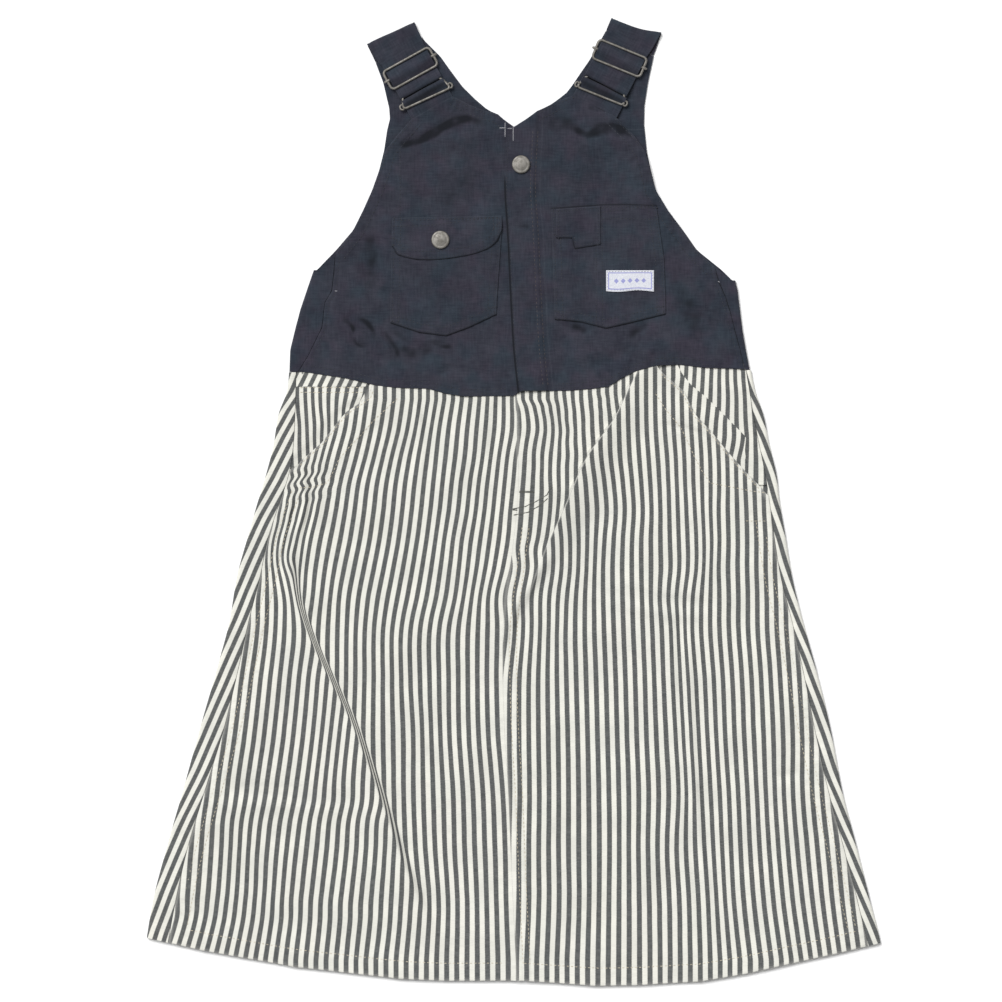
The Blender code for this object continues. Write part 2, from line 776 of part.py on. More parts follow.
def chest_pockets(surface, label_surface):
    """Patch pockets on the bib, and what is sewn on them, each a gap and a thickness further out."""

    def patch_on(name, sides, top, foot, level, grid):
        """A piece over the bib. Its grid is how many columns and rows it has."""
        first, last = sides.split("\n")[0].split()[1:]
        columns = spread(straight(sides, first), straight(sides, last), grid[0])
        x, y = patch(columns, top, foot, np.linspace(0, 1, grid[1]))
        inner = front_top(x, y) + level(y)
        cloth(name, [lifted(x, y, inner + THIN, inner)], surface)

    def on_bib(y):
        return GAP

    def on_pocket(y):
        return GAP + POCKET_RISE

    def flap_level(y):
        return GAP + POCKET_RISE * ease((RIGHT_CHEST_TOP + FLAP_CLEAR + FLAP_STEP - y) / FLAP_STEP)

    pocket_top, pocket_foot = level_at(RIGHT_CHEST_TOP), straight(RIGHT_CHEST_FOOT, "y", "x")
    patch_on("chest_pocket_right", RIGHT_CHEST_SIDES, pocket_top, pocket_foot, on_bib, (9, 5))
    flap_top, flap_foot = straight(FLAP_TOP, "y", "x"), curve(FLAP_FOOT, "y", "x")
    patch_on("pocket_flap", RIGHT_CHEST_SIDES, flap_top, flap_foot, flap_level, (17, 9))
    pocket_top, pocket_foot = straight(LEFT_CHEST_TOP, "y", "x"), straight(LEFT_CHEST_FOOT, "y", "x")
    patch_on("chest_pocket_left", LEFT_CHEST_SIDES, pocket_top, pocket_foot, on_bib, (9, 5))
    band_top, band_foot = shifted(pocket_top, -PEN_BAND_INSET), straight(PEN_BAND_FOOT, "y", "x")
    patch_on("pen_band", PEN_BAND_SIDES, band_top, band_foot, on_pocket, (12, 4))

    width, height = LABEL_SIZE
    x = LABEL_CENTRE[0] + np.linspace(-width / 2, width / 2, 5)[None, :]
    y = LABEL_CENTRE[1] + np.linspace(-height / 2, height / 2, 3)[:, None]
    inner = front_top(x, y) + on_pocket(y)
    cloth("label", [lifted(x, y, inner + THIN, inner)], label_surface)


# ---- Straps, sliders and loops ----


def arc(centre, radius, start, stop, steps=7):
    """Points of an arc in a strap's side view: (along, height)."""
    turn = np.radians(np.linspace(start, stop, steps))
    return np.stack([centre[0] + radius * np.cos(turn), centre[1] + radius * np.sin(turn)], axis=1)


def ramp(start, stop, steps=5):
    """Points that pass smoothly from one (along, height) to another, without the last one."""
    share = np.linspace(0, 1, steps + 1)[:-1, None]
    start, stop = np.array(start), np.array(stop)
    return np.concatenate(
        [start[:1] + (stop - start)[:1] * share, start[1:] + (stop - start)[1:] * ease(share)],
        axis=1,
    )


def ribbon(name, side, path, half_width, surface):
    """A band of thin cloth that follows a path of (along, height) points of a strap."""
    ahead = np.gradient(path, axis=0)
    ahead /= np.linalg.norm(ahead, axis=1, keepdims=True)
    square = np.stack([-ahead[:, 1], ahead[:, 0]], axis=1)
    across = np.array([-1.0, 0.0, 1.0])[None, :] * half_width(path[:, 0])[:, None]
    faces = []
    for offset in (THIN / 2, -THIN / 2):
        at = path + square * offset
        x, y = strap_point(side, at[:, :1], across)
        faces.append(np.stack([x, y, np.broadcast_to(at[:, 1:], x.shape)], axis=-1))
    cloth(name, [tuple(faces)], surface)


WRAP = WIRE + GAP + THIN / 2
INNER_LEG = BACK_TOP + GAP + THIN / 2


def straps(surface):
    """From under the shoulder round the fold, under, over and under the slider's bars, round the
    loop's top bar, and back below to the slider."""
    ground, below, above = THIN / 2, SLIDER_LEVEL - WRAP, SLIDER_LEVEL + WRAP
    fold = (below - ground) / 2
    bend = (LOOP_LOW + WRAP - INNER_LEG) / 2
    for side, at in STRAPS.items():
        slider, bar = at["slider"], at["loop"] - 2 * LOOP_PITCH
        before, after = slider - SLIDER_HALF_LENGTH, slider + SLIDER_HALF_LENGTH

        def half_width(along, slider=slider):
            narrow = ease((slider - NARROWING_START - along) / NARROWING)
            return STRAP_HALF_IN_SLIDER + (STRAP_HALF - STRAP_HALF_IN_SLIDER) * narrow

        path = np.concatenate(
            [
                [(UNDER_STRAP, ground), (UNDER_STRAP / 2, ground)],
                arc((fold + THIN / 2, ground + fold), fold, 270, 90),
                [(before - STRAP_LEAD, below), (before - WIRE, below)],
                ramp((before, below), (slider, above)),
                ramp((slider, above), (after, below)),
                ramp((after, below), (bar, LOOP_LOW + WRAP)),
                arc((bar, INNER_LEG + bend), bend, 90, -90),
                [(after, INNER_LEG), (slider + STRAP_LEAD, INNER_LEG)],
            ]
        )
        ribbon(f"strap_{side}", side, path, half_width, surface)


def tabs(surface):
    """From the bib's top edge under the loop's lowest bar, over and round its middle bar, and back
    below, under the bib's edge."""
    middle = (LOOP_LOW + LOOP_HIGH) / 2
    bib_level = FRONT_FLOOR + CLOTH / 2
    for side, at in STRAPS.items():
        low_bar, bar = at["loop"], at["loop"] - LOOP_PITCH
        seam = low_bar + TAB_SEAM
        path = np.concatenate(
            [
                [(seam - GAP, bib_level), (low_bar + STRAP_LEAD, LOOP_HIGH - WRAP)],
                ramp((low_bar, LOOP_HIGH - WRAP), (bar, middle + WRAP)),
                arc((bar, middle), WRAP, 90, 270),
                ramp((bar + WIRE, middle - WRAP), (low_bar, INNER_LEG), 3),
                [(low_bar, INNER_LEG), (seam, INNER_LEG), (seam + TAB_UNDER, INNER_LEG)],
            ]
        )
        ribbon(f"tab_{side}", side, path, lambda t: np.full_like(t, STRAP_HALF_IN_SLIDER), surface)


def tube(points, closed, sides=8):
    """Points and faces of a round wire along a run of points."""
    count = len(points)
    if closed:
        ahead = np.roll(points, -1, axis=0) - np.roll(points, 1, axis=0)
    else:
        ahead = np.gradient(points, axis=0)
    ahead /= np.linalg.norm(ahead, axis=1, keepdims=True)
    up = np.cross(ahead, np.cross([0.0, 0.0, 1.0], ahead))
    up /= np.linalg.norm(up, axis=1, keepdims=True)
    level = np.cross(ahead, up)
    turn = np.arange(sides) * 2 * pi / sides + pi / sides
    ring = level[:, None] * np.cos(turn)[None, :, None] + up[:, None] * np.sin(turn)[None, :, None]
    skin = (points[:, None] + WIRE * ring).reshape(-1, 3)
    faces = []
    for i in range(count if closed else count - 1):
        j = (i + 1) % count
        for k in range(sides):
            m = (k + 1) % sides
            faces.append((i * sides + k, i * sides + m, j * sides + m, j * sides + k))
    if not closed:
        faces += [tuple(range(sides))[::-1], tuple((count - 1) * sides + k for k in range(sides))]
    return skin, faces


def buckle(name, side, near, far, half_width, level, bar_half, surface):
    """A rounded wire frame between two distances along a strap, with a bar across its middle."""
    corner, quarter = BUCKLE_CORNER, np.linspace(0, pi / 2, 4)
    along, across = [], []
    for along_middle, across_middle, start in (
        (far - corner, half_width - corner, 0),
        (far - corner, corner - half_width, 1),
        (near + corner, corner - half_width, 2),
        (near + corner, half_width - corner, 3),
    ):
        turn = quarter + start * pi / 2
        across.append(across_middle + corner * np.cos(turn))
        along.append(along_middle + corner * np.sin(turn))

    def wire_through(along, across):
        x, y = strap_point(side, along, across)
        return np.stack([x, y, level(along)], axis=1)

    frame_line = wire_through(np.concatenate(along), np.concatenate(across))
    bar_line = wire_through(np.full(3, (near + far) / 2), np.array([-bar_half, 0.0, bar_half]))
    frame = add(name, *tube(frame_line, True), surface)
    bar = add(f"{name}_bar", *tube(bar_line, False), surface)
    bar.hide_render = True
    bar.display_type = "WIRE"
    join = frame.modifiers.new("bar", "BOOLEAN")
    join.operation = "UNION"
    join.object = bar


def buckles(surface):
    """The two sliders lie level, and the two loops rise towards their lowest bars."""
    for side, at in STRAPS.items():
        near, far = at["slider"] - SLIDER_HALF_LENGTH, at["slider"] + SLIDER_HALF_LENGTH
        bar_half = SLIDER_HALF_WIDTH + NUB_REACH
        level = level_at(SLIDER_LEVEL)
        buckle(f"slider_{side}", side, near, far, SLIDER_HALF_WIDTH, level, bar_half, surface)
        far = at["loop"]
        near = far - 2 * LOOP_PITCH

        def rising(along, near=near, far=far):
            return np.interp(along, (near, far), (LOOP_LOW, LOOP_HIGH))

        buckle(f"loop_{side}", side, near, far, LOOP_HALF_WIDTH, rising, LOOP_HALF_WIDTH, surface)


def snap(name, place, level, surface):
    """A turned cap: the profile spun about its own axis."""
    rows = columns_of(SNAP_PROFILE)
    radius, height = rows["radius"][1:-1], rows["height"][1:-1]
    turn = np.arange(SNAP_SIDES) * 2 * pi / SNAP_SIDES
    ring_x = place[0] + radius[:, None] * np.cos(turn)
    ring_y = place[1] + radius[:, None] * np.sin(turn)
    ring_z = level + np.broadcast_to(height[:, None], ring_x.shape)
    rings = np.stack([ring_x, ring_y, ring_z], axis=-1).reshape(-1, 3)
    crown, foot = len(rings), len(rings) + 1
    points = np.concatenate([rings, [(*place, level + rows["height"][0]), (*place, level)]])
    faces = []
    for k in range(SNAP_SIDES):
        m = (k + 1) % SNAP_SIDES
        faces.append((crown, m, k))
        for start in range(0, foot - 1 - SNAP_SIDES, SNAP_SIDES):
            faces.append((start + k, start + m, start + SNAP_SIDES + m, start + SNAP_SIDES + k))
        faces.append((foot, crown - SNAP_SIDES + k, crown - SNAP_SIDES + m))
    add(name, points, faces, surface)


for old in list(bpy.data.objects):
    bpy.data.objects.remove(old)
garment = bpy.data.objects.new("pinafore_dress", None)
bpy.context.scene.collection.objects.link(garment)

denim = material("denim", (0.034, 0.036, 0.050), 0.9)
hickory = material("hickory stripe", (0.40, 0.41, 0.38), 0.9)
pewter = material("aged pewter", (0.42, 0.39, 0.33), 0.45, 1.0)
woven_label = material("woven label", (0.78, 0.79, 0.86), 0.7)

skirt_back(hickory)
skirt_fronts(hickory)
hip_facings(hickory)
bib_back(denim)
bib_fronts(denim)
chest_pockets(denim, woven_label)
straps(denim)
tabs(denim)
buckles(pewter)
snap("neck_snap", NECK_SNAP, FRONT_TOP + LAP_RISE + GAP, pewter)
snap("flap_snap", FLAP_SNAP, FRONT_TOP + 2 * POCKET_RISE + GAP, pewter)
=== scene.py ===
"""Looks of a child's pinafore dress of denim and hickory stripe, laid flat with its front up.

Metres, +Z up. The neck points along +Y and the wearer's right side lies along -X. Every piece of
cloth is a thin shell: its columns and rows follow the piece's own edges and folds, and its height is
the level of its solid plus its folds, creases, hems and puckers. Each table's columns are named in
its first line, and each row is one section, one point of an edge, or one stretch of a fold.
"""

from math import cos, pi, radians, sin

import bpy
import numpy as np
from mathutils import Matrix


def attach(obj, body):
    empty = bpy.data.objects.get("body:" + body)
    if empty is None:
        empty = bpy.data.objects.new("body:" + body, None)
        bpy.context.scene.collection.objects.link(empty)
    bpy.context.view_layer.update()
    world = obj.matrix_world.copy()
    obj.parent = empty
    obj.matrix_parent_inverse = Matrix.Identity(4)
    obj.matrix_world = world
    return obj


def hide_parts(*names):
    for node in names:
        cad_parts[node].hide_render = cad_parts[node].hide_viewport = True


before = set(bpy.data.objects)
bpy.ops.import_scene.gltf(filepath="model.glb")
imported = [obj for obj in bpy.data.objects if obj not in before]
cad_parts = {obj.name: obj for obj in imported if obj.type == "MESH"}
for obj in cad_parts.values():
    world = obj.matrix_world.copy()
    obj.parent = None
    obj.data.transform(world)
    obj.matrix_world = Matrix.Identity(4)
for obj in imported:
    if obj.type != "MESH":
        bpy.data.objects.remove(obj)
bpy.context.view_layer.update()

# Thicknesses and levels, from the back cloth on the floor up to the snaps on the front.
CLOTH = 0.0012
THIN = 0.0010
GAP = 0.0003
SIDE_RADIUS = 0.0021
BACK_TOP = CLOTH
FACING_FLOOR = BACK_TOP + GAP
FRONT_FLOOR = 2 * SIDE_RADIUS - CLOTH
FRONT_TOP = FRONT_FLOOR + CLOTH
LAP_RISE = GAP + CLOTH
POCKET_RISE = GAP + THIN

# The skirt from the waist to the hem: x of the outer edges, the side seams and the front seam.
SKIRT = """y right_edge right_seam centre left_seam left_edge
     0.090 -0.1525 -0.1478  0.0010  0.1584  0.1616
     0.076 -0.1540 -0.1480  0.0012  0.1606  0.1645
     0.060 -0.1598 -0.1485  0.0018  0.1632  0.1700
     0.040 -0.1630 -0.1495  0.0028  0.1671  0.1740
     0.020 -0.1680 -0.1525  0.0036  0.1712  0.1788
     0.000 -0.1740 -0.1590  0.0028  0.1743  0.1812
    -0.025 -0.1812 -0.1670  0.0002  0.1777  0.1855
    -0.050 -0.1880 -0.1722 -0.0030  0.1818  0.1895
    -0.080 -0.1930 -0.1798 -0.0066  0.1893  0.1968
    -0.115 -0.2022 -0.1875 -0.0072  0.1972  0.2064
    -0.155 -0.2136 -0.1972 -0.0060  0.2052  0.2160
    -0.195 -0.2245 -0.2095 -0.0035  0.2140  0.2235
    -0.236 -0.2362 -0.2218 -0.0018  0.2250  0.2340
    -0.270 -0.2450 -0.2295 -0.0003  0.2338  0.2425
    -0.300 -0.2500 -0.2350  0.0012  0.2408  0.2500
    -0.330 -0.2540 -0.2400  0.0025  0.2470  0.2550"""

# The seam between bib and skirt, seen from the front, and the same seam at the back.
WAIST = """x y
    -0.160 0.0888
    -0.142 0.0885
    -0.131 0.0868
    -0.115 0.0845
    -0.104 0.0820
    -0.093 0.0793
    -0.080 0.0778
    -0.058 0.0772
    -0.046 0.0738
    -0.033 0.0718
     0.000 0.0724
     0.006 0.0757
     0.037 0.0758
     0.055 0.0772
     0.065 0.0787
     0.075 0.0850
     0.083 0.0890
     0.097 0.0928
     0.113 0.0935
     0.130 0.0915
     0.165 0.0902"""
BACK_WAIST = """x y
    -0.150 0.0887
     0.160 0.0902"""

HEM = """x y
    -0.2500 -0.2960
    -0.2100 -0.3050
    -0.1790 -0.3105
    -0.1480 -0.3160
    -0.1180 -0.3193
    -0.0770 -0.3240
    -0.0460 -0.3254
     0.0050 -0.3252
     0.0250 -0.3265
     0.0560 -0.3288
     0.0860 -0.3282
     0.1270 -0.3258
     0.1580 -0.3206
     0.1880 -0.3138
     0.2190 -0.3070
     0.2500 -0.2995"""

# The slash pockets' opening edges, which cut the top outer corners off the skirt's front panels.
RIGHT_POCKET = """y x
    0.0820 -0.0950
    0.0717 -0.0985
    0.0615 -0.1138
    0.0520 -0.1219
    0.0411 -0.1300
    0.0357 -0.1362
    0.0286 -0.1444
    0.0241 -0.1475"""
LEFT_POCKET = """y x
    0.0930 0.0975
    0.0881 0.1018
    0.0758 0.1161
    0.0595 0.1242
    0.0479 0.1351
    0.0357 0.1450
    0.0214 0.1576
    0.0133 0.1657
    0.0051 0.1730"""
# How far an opening edge runs out for each metre below its foot.
MOUTH_END = 10.0

# The two large folds of the front. Each line is its crest, with its height above the flat cloth,
# its reach to the gentle side and its reach to the steep side.
HIP_FOLD = """y x height reach steep
     0.090 -0.0880 0.0000 0.008 0.0055
     0.060 -0.1060 0.0000 0.008 0.0055
     0.030 -0.1300 0.0000 0.008 0.0055
     0.000 -0.1450 0.0000 0.008 0.0055
    -0.020 -0.1500 0.0000 0.008 0.0055
    -0.040 -0.1515 0.0020 0.012 0.0055
    -0.066 -0.1485 0.0035 0.018 0.0055
    -0.092 -0.1390 0.0045 0.024 0.0050
    -0.124 -0.1235 0.0050 0.028 0.0050
    -0.147 -0.1120 0.0050 0.028 0.0050
    -0.185 -0.0968 0.0055 0.030 0.0050
    -0.219 -0.0845 0.0050 0.030 0.0055
    -0.247 -0.0750 0.0042 0.030 0.0065
    -0.274 -0.0640 0.0025 0.030 0.0075
    -0.300 -0.0560 0.0006 0.030 0.0080
    -0.330 -0.0500 0.0000 0.030 0.0080"""
WAIST_FOLD = """y x height reach steep
     0.262  0.0430 0.0000 0.020 0.0090
     0.200  0.0700 0.0000 0.020 0.0090
     0.150  0.0930 0.0000 0.020 0.0090
     0.130  0.0985 0.0000 0.020 0.0090
     0.105  0.0920 0.0024 0.020 0.0080
     0.078  0.0790 0.0045 0.024 0.0030
     0.057  0.0685 0.0055 0.028 0.0022
     0.032  0.0508 0.0055 0.030 0.0022
     0.000  0.0365 0.0045 0.030 0.0026
    -0.047  0.0161 0.0022 0.024 0.0045
    -0.073  0.0085 0.0006 0.020 0.0055
    -0.095  0.0060 0.0000 0.020 0.0055
    -0.200  0.0080 0.0000 0.020 0.0055
    -0.330  0.0120 0.0000 0.020 0.0055"""

# The bib: its folded side edges, the side seams in front and the open armholes above them.
BIB_SIDES = """y right_edge left_edge
    0.085 -0.1525 0.1618
    0.104 -0.1518 0.1582
    0.118 -0.1484 0.1558
    0.131 -0.1450 0.1542
    0.145 -0.1403 0.1525
    0.158 -0.1358 0.1490"""
BIB_RIGHT = """y x
    0.0887 -0.1466
    0.1000 -0.1395
    0.1190 -0.1302
    0.1360 -0.1283
    0.1440 -0.1235
    0.1550 -0.1223
    0.1700 -0.1210
    0.1853 -0.1090
    0.1989 -0.1022
    0.2125 -0.0961
    0.2261 -0.0913
    0.2397 -0.0870
    0.2500 -0.0790
    0.2608 -0.0693"""
BIB_LEFT = """y x
    0.0902 0.1575
    0.1040 0.1542
    0.1200 0.1500
    0.1300 0.1475
    0.1400 0.1443
    0.1500 0.1400
    0.1600 0.1370
    0.1717 0.1245
    0.1853 0.1150
    0.1989 0.1050
    0.2125 0.0968
    0.2261 0.0934
    0.2383 0.0900
    0.2500 0.0820
    0.2623 0.0697"""
SIDE_ROWS = 7
RIGHT_SHOULDER = """y armhole
    0.1580 -0.1337
    0.1620 -0.1300
    0.1717 -0.1206
    0.1853 -0.1090
    0.1989 -0.1022
    0.2125 -0.0961
    0.2261 -0.0913
    0.2397 -0.0879
    0.2533 -0.0859
    0.2610 -0.0840
    0.2683 -0.0845
    0.2859 -0.0886
    0.3118 -0.0985"""
LEFT_SHOULDER = """y armhole
    0.1510 0.1490
    0.1581 0.1419
    0.1717 0.1249
    0.1853 0.1154
    0.1989 0.1052
    0.2125 0.0970
    0.2261 0.0936
    0.2383 0.0909
    0.2574 0.0889
    0.2703 0.0892
    0.2859 0.0916
    0.3050 0.0957
    0.3199 0.0991"""
RIGHT_NECK = """y x
    0.2535  0.0000
    0.2553 -0.0022
    0.2594 -0.0056
    0.2642 -0.0104
    0.2669 -0.0172
    0.2744 -0.0260
    0.2832 -0.0349
    0.2941 -0.0430
    0.3036 -0.0498
    0.3145 -0.0607
    0.3259 -0.0680"""
LEFT_NECK = """y x
    0.2535 0.0000
    0.2560 0.0018
    0.2608 0.0086
    0.2669 0.0168
    0.2696 0.0236
    0.2737 0.0297
    0.2791 0.0365
    0.2846 0.0406
    0.2907 0.0447
    0.3016 0.0522
    0.3138 0.0590
    0.3261 0.0658"""

# Where the armholes meet the folded sides behind, and the height at which the back neck starts.
BACK_CORNERS = """x y
    -0.1337 0.1580
     0.1490 0.1510"""
NECK_LEVEL = 0.2535

# Top edges of the bib's front pieces: neck curves and, past their corners, the tab seams.
BIB_TOP_RIGHT = """x y
    -0.0693 0.2608
    -0.0413 0.2764
    -0.0300 0.2705
    -0.0205 0.2667
    -0.0104 0.2637
    -0.0056 0.2598
     0.0002 0.2556
     0.0300 0.2525"""
BIB_TOP_LEFT = """x y
    -0.0045 0.2547
     0.0002 0.2553
     0.0086 0.2606
     0.0168 0.2664
     0.0236 0.2694
     0.0297 0.2728
     0.0413 0.2771
     0.0697 0.2623"""

# The bib's lower edge laps over the skirt's panels between these two places.
WAIST_LAP = 0.0040
LAP_FROM, LAP_TO = -0.0980, 0.1060
LAP_FADE = 0.0100

# The edge of the placket band, and the band's width; the right half runs on under it.
PLACKET = """y x
    0.2547 -0.0045
    0.2125 -0.0062
    0.1853 -0.0045
    0.1377 -0.0022
    0.1037 -0.0002
    0.0700  0.0034"""
PLACKET_WIDTH = 0.0243
UNDERLAP = 0.0160
BAND_FLAT, BAND_FALL = 0.0185, 0.0050

# Chest pockets: side edges by height, top and bottom edges by width.
RIGHT_CHEST_SIDES = """y outer inner
    0.2000 -0.0825 -0.0078
    0.1860 -0.0825 -0.0078
    0.1375 -0.0836 -0.0112
    0.1100 -0.0838 -0.0121"""
RIGHT_CHEST_FOOT = """x y
    -0.0838 0.1221
    -0.0640 0.1155
    -0.0458 0.1132
    -0.0300 0.1190
    -0.0121 0.1275"""
FLAP_TOP = """x y
    -0.0818 0.1935
    -0.0080 0.1950"""
FLAP_FOOT = """x y
    -0.0818 0.1738
    -0.0805 0.1705
    -0.0760 0.1675
    -0.0689 0.1656
    -0.0546 0.1649
    -0.0369 0.1669
    -0.0226 0.1703
    -0.0145 0.1744
    -0.0100 0.1795
    -0.0080 0.1845"""
RIGHT_CHEST_TOP = 0.1868
FLAP_STEP, FLAP_CLEAR = 0.0045, 0.0015
LEFT_CHEST_SIDES = """y inner outer
    0.2030 0.0256 0.0970
    0.1650 0.0268 0.1025
    0.1180 0.0284 0.1040"""
LEFT_CHEST_TOP = """x y
    0.0256 0.2003
    0.0600 0.2028
    0.0780 0.2030
    0.0970 0.2023"""
LEFT_CHEST_FOOT = """x y
    0.0284 0.1244
    0.0456 0.1227
    0.0630 0.1183
    0.0800 0.1222
    0.1040 0.1282"""
PEN_BAND_SIDES = """y inner outer
    0.2000 0.0290 0.0592
    0.1700 0.0290 0.0592"""
PEN_BAND_INSET = 0.0012
PEN_BAND_FOOT = """x y
    0.0290 0.1798
    0.0400 0.1796
    0.0412 0.1722
    0.0592 0.1752"""
LABEL_CENTRE = (0.0793, 0.1507)
LABEL_SIZE = (0.0326, 0.0142)

# The facings of the slash pockets: how far they run on under the panels' edges, how far outside
# the edge they start to rise, the length of the slope, and the height of their lower edge.
FACING_UNDER, FACING_CLEAR, FACING_SLOPE, FACING_FOOT = 0.012, 0.002, 0.010, 0.012

# Straps: the middle of the fold at the shoulder, the lean of the strap from the vertical, the skew
# of the fold, and how far along the slider's middle bar and the loop's lowest bar lie.
STRAPS = {
    "right": dict(fold=(-0.0832, 0.3189), lean=29.0, skew=0.072, slider=0.0271, loop=0.0506),
    "left": dict(fold=(0.0834, 0.3240), lean=-27.0, skew=-0.194, slider=0.0246, loop=0.0535),
}
STRAP_HALF = 0.0168
STRAP_HALF_IN_SLIDER = 0.0160
TAB_HALF = {"right": 0.0160, "left": 0.0167}
NARROWING_START, NARROWING = 0.0090, 0.0060
STRAP_LEAD = 0.0040
UNDER_STRAP = 0.0120
TAB_SEAM = 0.0069
TAB_UNDER = 0.0120
WIRE = 0.00085
SLIDER_HALF_LENGTH = 0.0069
SLIDER_HALF_WIDTH = 0.0167
SLIDER_LEVEL = 0.0050
LOOP_PITCH = 0.0049
LOOP_HALF_WIDTH = 0.0162
LOOP_LOW, LOOP_HIGH = 0.0037, 0.0051
BUCKLE_CORNER = 0.0026
NUB_REACH = 0.0018

SNAP_PROFILE = """radius height
    0.0000 0.00200
    0.0012 0.00198
    0.0024 0.00190
    0.0034 0.00178
    0.0040 0.00166
    0.0044 0.00158
    0.0048 0.00160
    0.0053 0.00162
    0.0058 0.00150
    0.0061 0.00125
    0.0062 0.00070
    0.0061 0.00020
    0.0059 0.00000"""
NECK_SNAP = (0.0052, 0.2298)
FLAP_SNAP = (-0.0496, 0.1785)

# ---- Where the stripes run ----

# Guide stripes, counted from the wearer's right side seam at the hem: x of each by height. Between
# two guides the stripes are evenly spaced. The hip fold parts the first two tables, and the fold
# that laps at the waist parts the last two: under each fold some stripes are hidden.
RIGHT_OUTER_STRIPES = """y s0 s4 s8 s12 s16 s20 s24
    -0.012 -0.1900 -0.1700 -0.1555 -0.1400 -0.1155 -0.0895 -0.0635
    -0.025 -0.1950 -0.1740 -0.1595 -0.1430 -0.1180 -0.0910 -0.0650
    -0.039 -0.1990 -0.1755 -0.1605 -0.1460 -0.1205 -0.0940 -0.0685
    -0.053 -0.2040 -0.1770 -0.1580 -0.1390 -0.1130 -0.0875 -0.0620
    -0.066 -0.2055 -0.1795 -0.1555 -0.1365 -0.1105 -0.0850 -0.0595
    -0.083 -0.2060 -0.1800 -0.1555 -0.1300 -0.1045 -0.0785 -0.0530
    -0.121 -0.2105 -0.1850 -0.1590 -0.1330 -0.1075 -0.0820 -0.0560
    -0.159 -0.2165 -0.1895 -0.1630 -0.1365 -0.1125 -0.0870 -0.0610
    -0.190 -0.2205 -0.1940 -0.1675 -0.1405 -0.1155 -0.0890 -0.0630
    -0.204 -0.2225 -0.1955 -0.1695 -0.1425 -0.1160 -0.0900 -0.0645
    -0.216 -0.2240 -0.1975 -0.1720 -0.1450 -0.1185 -0.0925 -0.0670
    -0.235 -0.2260 -0.1985 -0.1740 -0.1475 -0.1200 -0.0935 -0.0685
    -0.273 -0.2290 -0.2015 -0.1760 -0.1515 -0.1245 -0.0970 -0.0695
    -0.311 -0.2340 -0.2075 -0.1805 -0.1545 -0.1280 -0.1000 -0.0730"""
RIGHT_INNER_STRIPES = """y s9 s13 s17 s21 s25 s29 s33
     0.070 -0.1415 -0.1180 -0.0935 -0.0690 -0.0470 -0.0230 -0.0010
     0.050 -0.1400 -0.1205 -0.0965 -0.0720 -0.0505 -0.0250 -0.0010
     0.032 -0.1435 -0.1255 -0.1005 -0.0765 -0.0525 -0.0265 -0.0040
     0.013 -0.1475 -0.1300 -0.1055 -0.0800 -0.0545 -0.0295 -0.0060
    -0.006 -0.1505 -0.1335 -0.1080 -0.0820 -0.0565 -0.0315 -0.0080
    -0.025 -0.1560 -0.1380 -0.1110 -0.0845 -0.0590 -0.0350 -0.0100
    -0.044 -0.1575 -0.1410 -0.1150 -0.0880 -0.0620 -0.0370 -0.0130
    -0.064 -0.1600 -0.1425 -0.1185 -0.0920 -0.0655 -0.0395 -0.0170
    -0.083 -0.1655 -0.1455 -0.1195 -0.0945 -0.0695 -0.0435 -0.0175
    -0.121 -0.1720 -0.1465 -0.1200 -0.0950 -0.0700 -0.0440 -0.0180
    -0.159 -0.1740 -0.1480 -0.1220 -0.0955 -0.0680 -0.0435 -0.0170
    -0.197 -0.1740 -0.1480 -0.1220 -0.0945 -0.0680 -0.0410 -0.0140
    -0.235 -0.1735 -0.1475 -0.1205 -0.0935 -0.0665 -0.0400 -0.0125
    -0.273 -0.1700 -0.1445 -0.1175 -0.0900 -0.0635 -0.0380 -0.0115
    -0.311 -0.1755 -0.1480 -0.1205 -0.0935 -0.0660 -0.0385 -0.0105"""
LEFT_INNER_STRIPES = """y s33 s35 s37 s39 s41 s43 s45 s49
     0.074  0.0010 0.0120 0.0235 0.0345 0.0460 0.0580 0.0695 0.0910
     0.070  0.0012 0.0120 0.0235 0.0350 0.0460 0.0590 0.0700 0.0915
     0.066  0.0025 0.0140 0.0250 0.0355 0.0465 0.0590 0.0705 0.0930
     0.062  0.0035 0.0150 0.0255 0.0360 0.0470 0.0595 0.0710 0.0945
     0.057  0.0040 0.0160 0.0265 0.0360 0.0475 0.0595 0.0720 0.0960
     0.049  0.0040 0.0165 0.0270 0.0370 0.0475 0.0600 0.0725 0.0970
     0.041  0.0030 0.0150 0.0265 0.0365 0.0480 0.0605 0.0725 0.0970
     0.033  0.0020 0.0140 0.0255 0.0370 0.0485 0.0605 0.0730 0.0975
     0.025  0.0010 0.0140 0.0250 0.0365 0.0485 0.0610 0.0735 0.0980
     0.017  0.0005 0.0135 0.0250 0.0365 0.0485 0.0610 0.0735 0.0985
     0.008 -0.0005 0.0130 0.0255 0.0365 0.0485 0.0610 0.0735 0.0985
    -0.012 -0.0020 0.0120 0.0245 0.0345 0.0465 0.0595 0.0725 0.0980
    -0.025 -0.0030 0.0105 0.0225 0.0330 0.0450 0.0585 0.0715 0.0970
    -0.032 -0.0035 0.0090 0.0210 0.0290 0.0420 0.0560 0.0700 0.0955
    -0.044 -0.0040 0.0080 0.0190 0.0285 0.0420 0.0560 0.0700 0.0950
    -0.083 -0.0080 0.0050 0.0185 0.0300 0.0420 0.0550 0.0680 0.0935"""
